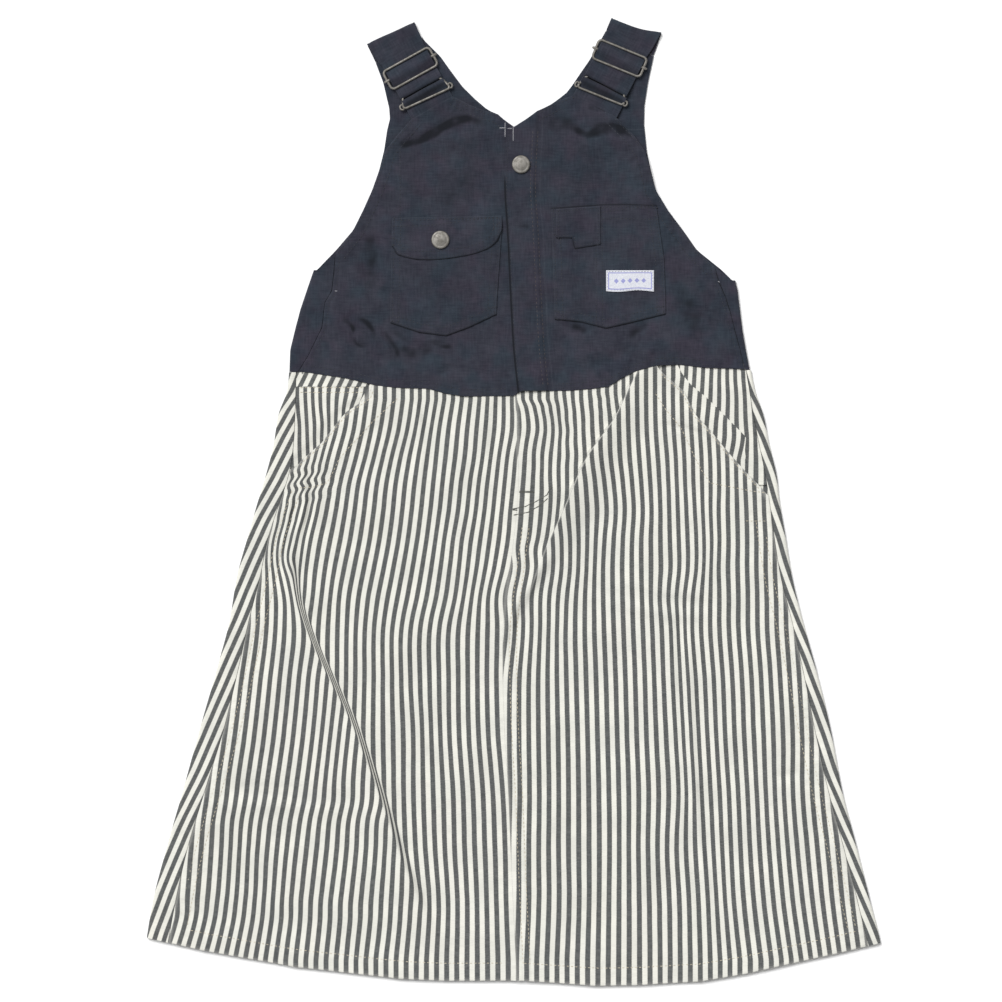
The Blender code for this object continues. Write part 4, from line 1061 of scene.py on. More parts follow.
STRIPE_LIGHT, STRIPE_DULL = (0.715, 0.705, 0.640, 1), (0.640, 0.635, 0.580, 1)
STRIPE_DARK, STRIPE_SLUB = (0.050, 0.054, 0.056, 1), (0.088, 0.092, 0.090, 1)
# The weft's colour, and the stripes' pale colour from wear at edges and from a painted highlight on fold
# crests.
STRIPE_WEFT, STRIPE_RUBBED_AND_HIGHLIT = (0.33, 0.33, 0.32, 1), (0.62, 0.61, 0.57, 1)
# What the stripes are multiplied by in painted shade, in creases and along edges in shade.
STRIPE_SHADE = (0.42, 0.43, 0.45, 1)
DENIM_WARP = (0.0118, 0.0128, 0.0212, 1)
DENIM_WEFT = (0.0415, 0.0437, 0.0590, 1)
# Denim pale from wear and from a faint painted highlight on fold ridges, and the dark of its painted shade.
DENIM_RUBBED_AND_HIGHLIT = (0.0800, 0.0850, 0.1050, 1)
DENIM_SHADE = (0.0050, 0.0060, 0.0090, 1)
DYE_VIOLET, DYE_TEAL = (1.13, 0.98, 1.02, 1), (0.82, 1.03, 1.02, 1)
PEWTER_PALE, PEWTER_BROWN = (0.215, 0.205, 0.188, 1), (0.145, 0.137, 0.122, 1)
LABEL_WHITE, LABEL_GREY = (0.74, 0.75, 0.80, 1), (0.64, 0.66, 0.73, 1)
LABEL_BLUE = (0.27, 0.28, 0.58, 1)
# The pitch of each weave's diagonal lines or ribs, and of the thread's plies.
STRIPE_TWILL, STRIPE_RIBS, DENIM_TWILL = 0.0011, 0.00075, 0.00105
LABEL_RIBS, THREAD_PLIES = 0.00045, 0.0005
# The label's border lies between these two distances from its edge, each softened over a width,
# and its diamonds fill a row of this height, cut off beside the border.
BORDER_OUTER, BORDER_INNER = (0.0013, 0.0015), (0.0020, 0.0022)
DIAMOND_COUNT, DIAMOND_HEIGHT, DIAMOND_CLEAR = 7, 0.0048, (0.0042, 0.0044)


def hickory():
    """Hickory stripe: warp of dark and light bands with twill along their edges, a little slub, and
    fine weft lines. The map's first number counts stripes, and its second is metres along them."""
    surface = Surface("hickory stripe cloth")
    across, along, _ = surface.parts(surface.cloth_map())
    place = surface.place()
    wander = surface.noise(surface.stretched(place, (1, 1, 1)), 90.0, 2.0) - 0.5
    twill = ((across * STRIPE_PITCH + along) * (2 * pi / STRIPE_TWILL)).sin() * 0.022
    count = across + wander * 0.05 + twill
    wave = (count * (2 * pi) + pi / 2).sin()
    stripe = wave.rise(-0.20, 0.20)
    slub = surface.noise(surface.stretched(surface.cloth_map(), (1.0, 30.0, 1.0)), 9.0, 3.0)
    weft = surface.noise(surface.stretched(place, (140.0, 1600.0, 140.0)), 1.0, 2.0)
    mottle = surface.noise(place, 55.0, 4.0)
    dark = surface.blend(slub.rise(0.25, 0.75), STRIPE_DARK, STRIPE_SLUB)
    light = surface.blend(mottle.rise(0.3, 0.7), STRIPE_LIGHT, STRIPE_DULL)
    cloth = surface.blend(stripe, light, dark)
    threads = surface.blend(weft.rise(0.35, 0.75) * 0.16, cloth, STRIPE_WEFT)
    wear_and_painted_light = surface.mark("wear_and_painted_light")
    # Above zero the mark turns the cloth paler, from wear along edges and a painted highlight on fold
    # crests; below zero painted shade darkens it.
    rubbed_and_highlit = surface.blend(wear_and_painted_light.rise(0, 1) * 0.25, threads, STRIPE_RUBBED_AND_HIGHLIT)
    colour = surface.blend((0 - wear_and_painted_light).rise(0, 1), rubbed_and_highlit, STRIPE_SHADE, "MULTIPLY")
    ribs = ((across * STRIPE_PITCH + along * 0.6) * (2 * pi / STRIPE_RIBS)).sin()
    height = ribs * 0.30 + weft * 0.5 + mottle * 0.3 + stripe * 0.12
    return surface.finish(Base_Color=colour, Roughness=0.92, height=height, depth=0.00012)


def denim():
    """Denim: a dark warp with the paler weft showing through in a fine twill, slubs along the warp,
    and a dye that clouds softly between violet and teal. Where the mesh's mark is above zero the cloth
    is pale from wear, with a faint painted highlight on fold ridges, and below zero painted shade
    darkens it in creases and along edges in shade."""
    surface = Surface("dark denim cloth")
    cloth_map = surface.cloth_map()
    across, along, _ = surface.parts(cloth_map)
    place = surface.place()
    twill = ((across + along * 0.85) * (2 * pi / DENIM_TWILL)).sin()
    warp = surface.noise(surface.stretched(cloth_map, (900.0, 110.0, 1.0)), 1.0, 3.0)
    weft = surface.noise(surface.stretched(cloth_map, (130.0, 900.0, 1.0)), 1.0, 2.0)
    soft = surface.noise(place, 95.0, 3.0, 0.6)
    clouds = surface.noise(place, 34.0, 3.0, 0.6)
    hue = surface.noise(surface.stretched(place, (1.0, 1.0, -1.0)), 60.0, 2.0, 0.5, "Color")
    fleck = surface.noise(place, 900.0, 2.0)
    even = twill * 0.06 + (warp - 0.5) * 0.55 + (weft - 0.5) * 0.55
    show = (even + (soft - 0.5) * 0.60 + (clouds - 0.5) * 0.50 + 0.40).rise(-0.15, 1.05)
    cloth = surface.blend(show, DENIM_WARP, DENIM_WEFT)
    violet, teal, _ = surface.parts(hue)
    reddened = surface.blend(violet.rise(0.42, 0.68), cloth, DYE_VIOLET, "MULTIPLY")
    dyed = surface.blend(teal.rise(0.40, 0.66), reddened, DYE_TEAL, "MULTIPLY")
    wear_and_painted_light = surface.mark("wear_and_painted_light")
    # Pale from wear along edges and hems, with a faint painted highlight on fold ridges.
    rubbed_and_highlit = (wear_and_painted_light * (0.25 + fleck * 0.9)).rise(0.20, 1.10)
    rubbed_and_highlit_colour = surface.blend(rubbed_and_highlit * 0.55, dyed, DENIM_RUBBED_AND_HIGHLIT)
    # Painted shade: below zero the mark darkens the cloth in creases and along edges in shade.
    colour = surface.blend((0 - wear_and_painted_light).rise(0, 1) * 0.9, rubbed_and_highlit_colour, DENIM_SHADE)
    height = twill * 0.25 + warp * 0.5 + weft * 0.5 + fleck * 0.25
    made = surface.finish(Base_Color=colour, Roughness=0.92, height=height, depth=0.00014)
    surface.shader.inputs["Specular IOR Level"].default_value = 0.20
    surface.shader.inputs["Sheen Weight"].default_value = 0.04
    surface.shader.inputs["Sheen Roughness"].default_value = 0.5
    return made


def thread(name, colour, shadow):
    """Sewing thread: two plies twisted round each other, in a slightly uneven colour."""
    surface = Surface(name)
    place = surface.place()
    x, y, _ = surface.parts(place)
    ply = ((x + y) * (2 * pi / THREAD_PLIES)).sin()
    uneven = surface.noise(place, 160.0, 2.0)
    # The darker colour comes in at random, as uneven thread, and a little in the grooves between the plies,
    # as painted shade.
    mixed = surface.blend((uneven + ply * 0.12).rise(0.25, 0.75), shadow, colour)
    return surface.finish(Base_Color=mixed, Roughness=0.75, height=ply, depth=0.00008)


def pewter():
    """Aged pewter: pale metal, browner and duller where it has tarnished, with fine scratches."""
    surface = Surface("aged pewter metal")
    place = surface.place()
    patches = surface.noise(place, 420.0, 4.0, 0.6)
    scratches = surface.noise(surface.stretched(place, (2600.0, 700.0, 900.0)), 1.0, 2.0)
    tarnish = patches.rise(0.35, 0.72)
    colour = surface.blend(tarnish, PEWTER_PALE, PEWTER_BROWN)
    rough = 0.50 + tarnish * 0.12 + scratches * 0.08
    height = patches * 0.5 + scratches * 0.5
    made = surface.finish(Base_Color=colour, Roughness=rough, height=height, depth=0.00002)
    surface.shader.inputs["Metallic"].default_value = 0.85
    return made


def woven_label():
    """A white woven label with a plain blue border and a row of blue diamonds: its map runs from 0
    to 1 across and up, so the design is worked out from the distance to the edges."""
    surface = Surface("white woven label")
    across, up, _ = surface.parts(surface.cloth_map())
    place = surface.place()
    width, height = LABEL_SIZE
    edge_x = (0.5 - (across - 0.5).abs()) * width
    edge_y = (0.5 - (up - 0.5).abs()) * height
    inside = edge_x.math("MINIMUM", edge_x, edge_y)
    border = inside.rise(*BORDER_OUTER) * (1 - inside.rise(*BORDER_INNER))
    middle = (up - 0.5).abs() * (height / DIAMOND_HEIGHT)
    sideways = 0.5 - across.math("PINGPONG", across * DIAMOND_COUNT, 0.5)
    row = (1 - (middle + sideways).rise(0.32, 0.40)) * edge_x.rise(*DIAMOND_CLEAR)
    ribs = ((up * height) * (2 * pi / LABEL_RIBS)).sin()
    mottle = surface.noise(place, 900.0, 2.0)
    ground = surface.blend(mottle.rise(0.3, 0.7), LABEL_WHITE, LABEL_GREY)
    ink = border.math("MAXIMUM", border, row) * (0.75 + mottle * 0.3)
    colour = surface.blend(ink, ground, LABEL_BLUE)
    return surface.finish(Base_Color=colour, Roughness=0.70, height=ribs + mottle, depth=0.00008)


def paper():
    """The floor: a plain pale ground."""
    surface = Surface("pale floor")
    return surface.finish(Base_Color=(0.93, 0.93, 0.93, 1), Roughness=0.9)


# ---- Making pieces ----

SHARP_ANGLE = 55
SETTLING_TURNS = 60
RIM_POINTS = 160


def piece(name, points, faces, surface, slot, nodes, maps=None, marks=None):
    """One mesh from its points and faces, riding on the garment in place of its solids."""
    mesh = bpy.data.meshes.new(name)
    mesh.from_pydata(points.tolist(), [], faces.tolist() if isinstance(faces, np.ndarray) else faces)
    corners = np.empty(len(mesh.loops), dtype=np.int32)
    mesh.loops.foreach_get("vertex_index", corners)
    if maps is not None:
        layer = mesh.uv_layers.new(name="cloth")
        layer.data.foreach_set("uv", maps[corners].astype(np.float32).ravel())
    if marks is not None:
        # The mark is above zero where the cloth is pale from wear or a painted highlight, and below zero
        # where painted shade darkens it.
        wear_and_painted_light = mesh.attributes.new("wear_and_painted_light", "FLOAT", "POINT")
        wear_and_painted_light.data.foreach_set("value", marks.astype(np.float32))
    mesh.materials.append(surface)
    mesh.shade_smooth()
    mesh.set_sharp_from_angle(angle=radians(SHARP_ANGLE))
    made = bpy.data.objects.new(name, mesh)
    bpy.context.scene.collection.objects.link(made)
    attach(made, "root")
    if nodes:
        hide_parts(*nodes)
    return made


class Patch:
    """A stretch of cloth: grids of its outer and inner faces, its map, and its wear and painted light."""

    def __init__(self, outer, inner, maps, wear_and_painted_light=0.0):
        shape = outer.shape[:2]
        self.outer, self.inner = outer, inner
        self.maps = np.stack(np.broadcast_arrays(*maps, np.zeros(shape))[:2], axis=-1)
        self.wear_and_painted_light = np.broadcast_to(wear_and_painted_light, shape)


def cloth(name, patches, surface, slot, nodes):
    """A shell of cloth. Patches are sewn where their outer points meet, and a rim closes every edge
    that is left free: each free edge's two points are joined to the two below them."""
    outer = np.concatenate([patch.outer.reshape(-1, 3) for patch in patches])
    inner = np.concatenate([patch.inner.reshape(-1, 3) for patch in patches])
    maps = np.concatenate([patch.maps.reshape(-1, 2) for patch in patches])
    wear_and_painted_light = np.concatenate([patch.wear_and_painted_light.reshape(-1) for patch in patches])
    quads, start = [], 0
    for patch in patches:
        rows, across = patch.outer.shape[:2]
        index = start + np.arange(rows * across).reshape(rows, across)
        corners = (index[:-1, :-1], index[:-1, 1:], index[1:, 1:], index[1:, :-1])
        made = np.stack(corners, axis=-1).reshape(-1, 4)
        a, b, c, d = (outer[made[:, i]] for i in range(4))
        outwards = outer[made[:, 0]] - inner[made[:, 0]]
        if (np.cross(c - a, d - b) * outwards).sum() < 0:
            made = made[:, ::-1]
        quads.append(made)
        start += rows * across
    quads = np.concatenate(quads)
    _, first, sewn = np.unique(
        np.round(outer, 6), axis=0, return_index=True, return_inverse=True
    )
    quads = sewn.reshape(-1)[quads]
    outer, inner, maps, wear_and_painted_light = outer[first], inner[first], maps[first], wear_and_painted_light[first]
    edges = np.stack([quads, np.roll(quads, -1, axis=1)], axis=-1).reshape(-1, 2)
    _, index, count = np.unique(
        np.sort(edges, axis=1), axis=0, return_inverse=True, return_counts=True
    )
    free = edges[count[index.reshape(-1)] == 1]
    below = len(outer)
    rim = np.stack([free[:, 1], free[:, 0], free[:, 0] + below, free[:, 1] + below], axis=-1)
    faces = np.concatenate([quads, quads[:, ::-1] + below, rim])
    points = np.concatenate([outer, inner])
    return piece(
        name, points, faces, surface, slot, nodes, np.tile(maps, (2, 1)), np.tile(wear_and_painted_light, 2)
    )


def shares(count):
    """Even shares from 0 to 1, with close ones at both ends where an edge rolls over."""
    even = np.linspace(0, 1, count)
    close = np.array([0.06, 0.16, 0.32]) / count
    return np.unique(np.concatenate([even, close, 1 - close]))


def spread(left, right, count):
    """Columns at shares of the way from the edge left(y) to the edge right(y)."""
    share = shares(count)
    return lambda y: left(y) * (1 - share) + right(y) * share


def gather(left, line, right, before, steps, after):
    """Columns that follow a line: even ones up to it, some at close steps over it, even ones on."""
    up, on = np.linspace(0, 1, before + 1)[:-1], np.linspace(0, 1, after + 1)[1:]
    none = np.zeros(len(steps))
    from_left = np.concatenate([1 - up, none, 0 * on])
    from_line = np.concatenate([up, none + 1, 1 - on])
    from_right = np.concatenate([0 * up, none, on])
    shift = np.concatenate([up * steps[0], steps, (1 - on) * steps[-1]])
    return lambda y: left(y) * from_left + line(y) * from_line + right(y) * from_right + shift


def grid(columns, top, bottom, rows):
    """Grid of x and y: x on the columns, y at shares of the way from top(x) to bottom(x). Each
    depends on the other, so the two are worked out in turns until they settle."""
    share = np.asarray(rows)[:, None]
    y = np.full((len(share), 1), float(np.mean(top(0.0) + bottom(0.0)) / 2))
    for _ in range(SETTLING_TURNS):
        x = columns(y)
        y = top(x) * (1 - share) + bottom(x) * share
    return np.broadcast_arrays(x, y)


def shifted(line, by):
    """A line moved sideways."""
    return lambda at: line(at) + by


def level_at(height):
    """A line at one height."""
    return lambda x: np.full_like(x, height)


def outline_of(x, y):
    """The run of points round a grid: its top row, right column, bottom row and left column."""
    runs = (
        (x[0], y[0]),
        (x[1:, -1], y[1:, -1]),
        (x[-1, -2::-1], y[-1, -2::-1]),
        (x[-2::-1, 0], y[-2::-1, 0]),
    )
    return np.concatenate([np.stack(run, axis=1) for run in runs])


def rim_distance(x, y):
    """How far each point of a grid lies from the grid's outline."""
    outline = outline_of(x, y)
    keep = np.linspace(0, len(outline) - 1, min(len(outline), RIM_POINTS)).astype(int)
    return along_line(x, y, outline[keep])[0]


def shell(x, y, top, thickness, maps, wear_and_painted_light=0.0, roll=None):
    """A patch from its height. Where roll gives a distance from a cut edge, the outer face rolls
    down there along a quarter circle of half the thickness."""
    top, fall = np.broadcast_to(top, x.shape), 0
    if roll is not None:
        radius = thickness / 2
        inside = np.clip(1 - roll / radius, 0, 1)
        fall = radius * (1 - np.sqrt(1 - inside**2))
    outer = np.stack([x, y, top - fall], axis=-1)
    inner = np.stack([x, y, top - thickness], axis=-1)
    return Patch(outer, inner, maps, wear_and_painted_light)


# ---- The front's relief ----

hip_fold = {name: curve(HIP_FOLD, name) for name in ("x", "height", "reach", "steep")}
lap_fold = {name: curve(WAIST_FOLD, name) for name in ("x", "height", "reach", "steep")}


def fold_lift(x, y, fold, gentle):
    """A large fold: full height on its crest, falling with level ends over its gentle reach to one
    side, which is -1 or 1, and over its steep reach to the other."""
    off = (x - fold["x"](y)) * gentle
    reach = np.where(off > 0, fold["reach"](y), fold["steep"](y))
    return np.maximum(fold["height"](y), 0) * ease(1 - np.abs(off) / reach)


def front_top(x, y):
    """Outer face of the front: level, with the hip fold and the fold that laps at the waist."""
    return FRONT_TOP + fold_lift(x, y, hip_fold, -1) + fold_lift(x, y, lap_fold, 1)


def bib_top(x, y):
    """Outer face of the bib's halves: the front's, lifted where the lower edge laps the skirt."""
    over_skirt = ease((x - LAP_FROM) / LAP_FADE + 1) * ease((LAP_TO - x) / LAP_FADE + 1)
    near_seam = ease((waist(x) + WAIST_LAP + 1.5 * LAP_FADE - y) / LAP_FADE)
    return front_top(x, y) + LAP_RISE * over_skirt * near_seam


# ---- Skirt ----

skirt = {name: curve(SKIRT, name) for name in SKIRT.split("\n")[0].split()[1:]}
waist, hem = straight(WAIST, "y", "x"), straight(HEM, "y", "x")
back_waist = straight(BACK_WAIST, "y", "x")
right_pocket, left_pocket = straight(RIGHT_POCKET, "x"), straight(LEFT_POCKET, "x")


def past_foot(table, outwards):
    """A pocket's opening edge, which runs out past the side seam below the table's last row."""
    opening, foot = straight(table, "x"), columns_of(table)["y"][-1]
    return lambda y: opening(y) + outwards * MOUTH_END * np.maximum(foot - y, 0)


right_mouth, left_mouth = past_foot(RIGHT_POCKET, -1), past_foot(LEFT_POCKET, 1)


def line_of(read, start, stop, count=40, along="y"):
    """Points of a line x(y), or y(x), between two values of what it is read along."""
    at = np.linspace(start, stop, count)
    return np.stack([read(at), at] if along == "y" else [at, read(at)], axis=1)


HEM_LINE = line_of(hem, *HEM_ENDS, along="x")
RIGHT_SEAM_LINE = line_of(skirt["right_seam"], *SEAM_ENDS)
LEFT_SEAM_LINE = line_of(skirt["left_seam"], *SEAM_ENDS)
CENTRE_LINE = line_of(skirt["centre"], *CENTRE_ENDS)


def hem_relief(x, y):
    """The turned hem: a little thicker up to its row of stitches, with fine puckers along it."""
    away, share = along_line(x, y, HEM_LINE)
    along_hem = puckers(away - HEM_DEPTH, share * HEM_RUN)
    return band(away, HEM_DEPTH) + groove(away, HEM_DEPTH) + along_hem


def seam_relief(x, y, line, rows, size=PUCKER):
    """A felled seam: thicker out to its second row of stitches, pulled in along both rows, with
    puckers that differ from row to row."""
    away, share = along_line(x, y, line)
    run = share * SEAM_RUN
    pulled = groove(away, rows[0]) + groove(away, rows[1]) + puckers(away - rows[0], run, size)
    return band(away, rows[1]) + pulled + puckers(away - rows[1], run + 0.003, size)


stripes_outside_hip = stripe_field(RIGHT_OUTER_STRIPES)
stripes_inside_hip = stripe_field(RIGHT_INNER_STRIPES)
stripes_inside_lap = stripe_field(LEFT_INNER_STRIPES)
stripes_outside_lap = stripe_field(LEFT_OUTER_STRIPES)
facing_stripes = stripe_field(RIGHT_FACING_STRIPES)
stripes_above_step = stripe_field(LEFT_FACING_STRIPES)
stripes_below_step = stripe_field(LEFT_STEP_STRIPES)


def right_stripes(x, y):
    """Stripe count of the right panel: outside the hip fold's crest one field, inside its foot the
    other, and between them a steady change, which squeezes the stripes on its steep side. Below
    the pocket's mouth the gathers shift them to and fro: a sine of the height, whose waves lean and
    bend a little, in a bell curve round the gathers' middle."""
    inner = stripes_inside_hip(x, y)
    off = (x - hip_fold["x"](y)) / hip_fold["steep"](y)
    hides = ease((HIP_HIDES[0] - y) / HIDES_FADE + 1) * ease((y - HIP_HIDES[1]) / HIDES_FADE)
    aside = ((x - GATHERS[0]) / GATHERS_REACH[0]) ** 2 + ((y - GATHERS[1]) / GATHERS_REACH[1]) ** 2
    wave = np.sin(2 * pi * (y + 0.3 * x + 2 * x**2) / GATHERS_PITCH) * np.exp(-aside)
    count = inner + (stripes_outside_hip(x, y) - inner) * (1 - ease(off * HIP_SQUEEZE)) * hides
    return count + GATHERS_SHIFT * wave


def left_stripes(x, y):
    """Stripe count of the left panel: one field up to the steep side of the fold that laps at the
    waist, the other from its crest on."""
    outer = stripes_outside_lap(x, y)
    off = (lap_fold["x"](y) - x) / lap_fold["steep"](y)
    hides = ease((y - LAP_HIDES) / HIDES_FADE)
    return outer + (stripes_inside_lap(x, y) - outer) * ease(off * LAP_STEP) * hides


RIGHT_MOUTH = line_of(right_pocket, *MOUTH_ENDS["right"], 30)
LEFT_MOUTH = line_of(left_pocket, *MOUTH_ENDS["left"], 30)


def skirt_top(x, y, side):
    """Outer face of a front panel: the folds and creases, the hem, the felled side seam below the
    pocket, the pocket's faced mouth, and the centre seam, which is felled onto the left panel."""
    seam, mouth = (LEFT_SEAM_LINE, LEFT_MOUTH) if side == "left" else (RIGHT_SEAM_LINE, RIGHT_MOUTH)
    height = front_top(x, y) + hem_relief(x, y) + creases(SKIRT_CREASES, x, y)
    height = height + ease((FELLED_FROM - y) / FELLED_FADE) * seam_relief(x, y, seam, SEAM_ROWS)
    if side == "left":
        height = height + seam_relief(x, y, CENTRE_LINE, CENTRE_ROWS, 0.00016)
    else:
        away, share = along_line(x, y, CENTRE_LINE)
        height = height + puckers(away, share * SEAM_RUN) * 0.7
    inside, run = along_line(x, y, mouth)
    height = height + band(inside, MOUTH_ROWS[1], 0.0003) + groove(inside, MOUTH_ROWS[0], 0.00012)
    height = height + puckers(inside, run * MOUTH_RUN, HARD_PUCKER)
    return np.maximum(height + unrest(x, y, 0.0007), FRONT_TOP - SKIRT_PRESSED)


def skirt_fronts(surface):
    """The two front panels, cut away along the pocket openings, with columns along the folds."""
    top = shifted(waist, WAIST_LAP)

    def right_side(y):
        return np.maximum(skirt["right_seam"](y), right_mouth(y)) + GAP / 2

    def left_side(y):
        return np.minimum(skirt["left_seam"](y), left_mouth(y)) - GAP / 2

    seam_right = shifted(skirt["centre"], -SEAM_TOUCH)
    seam_left = shifted(skirt["centre"], SEAM_TOUCH)
    over_hip, over_lap = np.linspace(*OVER_HIP, 22), np.linspace(*OVER_LAP, 26)
    halves = (
        (
            "right",
            gather(right_side, hip_fold["x"], seam_right, 72, over_hip, 72),
            RIGHT_MOUTH,
            right_stripes,
            (0.225, 0.425),
            0.0725,
        ),
        (
            "left",
            gather(seam_left, lap_fold["x"], left_side, 20, over_lap, 122),
            LEFT_MOUTH,
            left_stripes,
            (0.260, 0.425),
            0.0855,
        ),
    )
    for side, columns, mouth, stripes, flat, area in halves:
        x, y = grid(columns, top, hem, shares(262))
        edge = rim_distance(x, y)
        wear_and_painted_light = np.exp(-edge / SKIRT_RUBBED) + 0.5 * np.exp(-along_line(x, y, mouth)[0] / 0.002)
        # Painted shade in the creases' troughs and a faint painted highlight on their ridges.
        wear_and_painted_light = wear_and_painted_light + 0.15 * painted_fold_light(creases(SKIRT_CREASES, x, y), SKIRT_FOLD_SHADE_DEPTH)
        # A painted highlight along the crest of the fold that laps at the waist.
        crest = np.exp(-(((x - lap_fold["x"](y)) / CREST_HIGHLIGHT) ** 2))
        wear_and_painted_light = wear_and_painted_light + 1.2 * crest * ease(lap_fold["height"](y) / 0.001)
        maps = (stripes(x, y), y)
        roll = np.where(np.abs(x - skirt["centre"](y)) < BESIDE_SEAM, CLOTH, edge)
        patch = shell(x, y, skirt_top(x, y, side), CLOTH, maps, wear_and_painted_light, roll)
        made = cloth(
            f"skirt_front_{side}_cloth", [patch], surface, "hickory_stripe", [f"skirt_front_{side}"]
        )


def skirt_back(surface):
    """One shell: flat behind, round both sides, and up to the side seams in front. On the strips in
    front each stripe's count is the number that has passed the outer edge at that height, plus one
    for each pitch from the edge. Behind, it goes over from that to straight stripes by degrees."""
    turn = np.linspace(pi / 2, -pi / 2, 11)
    flat = np.linspace(0, 1, 60)[1:-1]
    strip = np.linspace(0, 1, 10)[:-1]
    bend = np.zeros(len(turn))
    half = np.concatenate([strip, bend + 1])
    at_right_seam = np.concatenate([1 - half, 0 * flat, 0 * half])
    at_right = np.concatenate([half, 1 - flat, 0 * half])
    at_left, at_left_seam = at_right[::-1], at_right_seam[::-1]

    def section(radius):
        out = np.concatenate([0 * strip, radius * np.cos(turn)])
        seam = np.concatenate([(1 - strip) * GAP / 2, bend])
        shift = np.concatenate([-seam - out, 0 * flat, (seam + out)[::-1]])
        return lambda y: (
            skirt["right_seam"](y) * at_right_seam
            + (skirt["right_edge"](y) + SIDE_RADIUS) * at_right
            + (skirt["left_edge"](y) - SIDE_RADIUS) * at_left
            + skirt["left_seam"](y) * at_left_seam
            + shift
        )

    def level(radius):
        rise = SIDE_RADIUS + radius * np.sin(turn)
        half = np.concatenate([0 * strip + SIDE_RADIUS + radius, rise])
        return np.concatenate([half, 0 * flat + SIDE_RADIUS - radius, half[::-1]])

    x, y = grid(section(SIDE_RADIUS), shifted(back_waist, -GAP / 2), hem, shares(150))
    inner_x = section(SIDE_RADIUS - CLOTH)(y)
    in_front = np.broadcast_to(level(1.0) > SIDE_RADIUS, x.shape)
    relief = hem_relief(x, y) * 0.8 + unrest(x, y, 0.0004)
    for seam in (RIGHT_SEAM_LINE, LEFT_SEAM_LINE):
        away, share = along_line(x, y, seam)
        relief = relief + puckers(away, share * SEAM_RUN, HARD_PUCKER) + groove(away, 0.0004, 0.0004)
    top = level(SIDE_RADIUS) + np.where(in_front, np.maximum(relief, -0.0006), 0)
    behind = np.where(in_front, 0, np.maximum(0, 0.0004 * np.sin(60 * x + 20 * y)))
    outer = np.stack([x, y, top + behind], axis=-1)
    inner = np.stack([inner_x, y, level(SIDE_RADIUS - CLOTH) + 0 * x], axis=-1)

    count, lean = x / STRIPE_PITCH, 0 * x
    for edge, sign in (("right_edge", -1), ("left_edge", 1)):
        line, whole = skirt[edge], SIDE_WHOLE[edge]
        slope = (line(y + 0.005) - line(y - 0.005)) / 0.010
        inside = (line(y) - x) * sign
        at_edge = -curve(SIDE_STRIPES, edge)(y) - whole
        on_strip = in_front & (inside < 0.06)
        stray = (at_edge - line(y) / STRIPE_PITCH) * ease(1 - inside / SIDE_FADE)
        count = np.where(on_strip, at_edge + sign * inside / STRIPE_PITCH, count + stray)
        lean = np.where(on_strip, 2 * slope / (1 + slope**2) * inside * sign, lean)
    maps = (count, y - lean)
    wear_and_painted_light = np.exp(-np.abs(level(1.0) - SIDE_RADIUS) / 0.35) * 0.35
    patch = Patch(outer, inner, maps, wear_and_painted_light)
    made = cloth("skirt_back_cloth", [patch], surface, "hickory_stripe", ["skirt_back"])


def hip_facings(surface):
    """The pocket pieces in the openings. They lie under the panels' cut edges and under the bib,
    and rise from there to the side seams. The right one has a seam across it, above which the
    stripes lean the other way, and the left one has a stepped seam down it, with a piece of its own
    on either side."""
    top = shifted(waist, WAIST_LAP)
    tops = {}
    sides = (
        ("right", 1, skirt["right_seam"], right_pocket, right_mouth, RIGHT_SEAM_LINE),
        ("left", -1, skirt["left_seam"], left_pocket, left_mouth, LEFT_SEAM_LINE),
    )
    for side, inward, seam, opening, mouth, line in sides:
        seam = shifted(seam, inward * GAP / 2)
        columns = spread(seam, shifted(opening, inward * FACING_UNDER), 36)

        def facing_top(x, y, line=line, inward=inward, mouth=mouth):
            outside = inward * (mouth(y) - x) - FACING_CLEAR
            below = waist(x) - FACING_SLOPE / 2 - y
            rise = (FRONT_FLOOR - FACING_FLOOR) * ease(outside / FACING_SLOPE)
            rise = rise * ease(below / FACING_SLOPE)
            away, share = along_line(x, y, line)
            relief = puckers(away, share * SEAM_RUN, HARD_PUCKER) + unrest(x, y, 0.0004, 1.0)
            return FACING_FLOOR + rise + CLOTH + relief * ease(outside / FACING_SLOPE)

        tops[side] = facing_top
        foot = level_at(FACING_FOOT)
        if side == "right":
            under_seam = level_at(YOKE_SEAM + SEAM_TUCK)
            x, y = grid(columns, under_seam, foot, shares(44))
            patches = [shell(x, y, facing_top(x, y), CLOTH, (facing_stripes(x, y), y))]
            x, y = grid(columns, top, level_at(YOKE_SEAM), shares(16))
            count = (x - YOKE_LEAN * (y - YOKE_SEAM)) / STRIPE_PITCH
            patches.append(shell(x, y, facing_top(x, y) + YOKE_LIFT, CLOTH, (count, y)))
        else:
            step = straight(LEFT_STEP, "x")

            def step_line(y, seam=seam, step=step):
                return np.minimum(seam(y), step(y))

            outer = spread(seam, shifted(step_line, -SEAM_TUCK), 30)
            x, y = grid(outer, top, foot, shares(50))
            patches = [shell(x, y, facing_top(x, y), CLOTH, (stripes_above_step(x, y), y))]
            inner = spread(step_line, shifted(opening, inward * FACING_UNDER), 30)
            x, y = grid(inner, top, foot, shares(50))
            level = facing_top(x, y) + YOKE_LIFT
            patches.append(shell(x, y, level, CLOTH, (stripes_below_step(x, y), y)))
        made = cloth(
            f"hip_facing_{side}_cloth", patches, surface, "hickory_stripe", [f"hip_facing_{side}"]
        )
    return tops["right"]


# ---- Bib ----

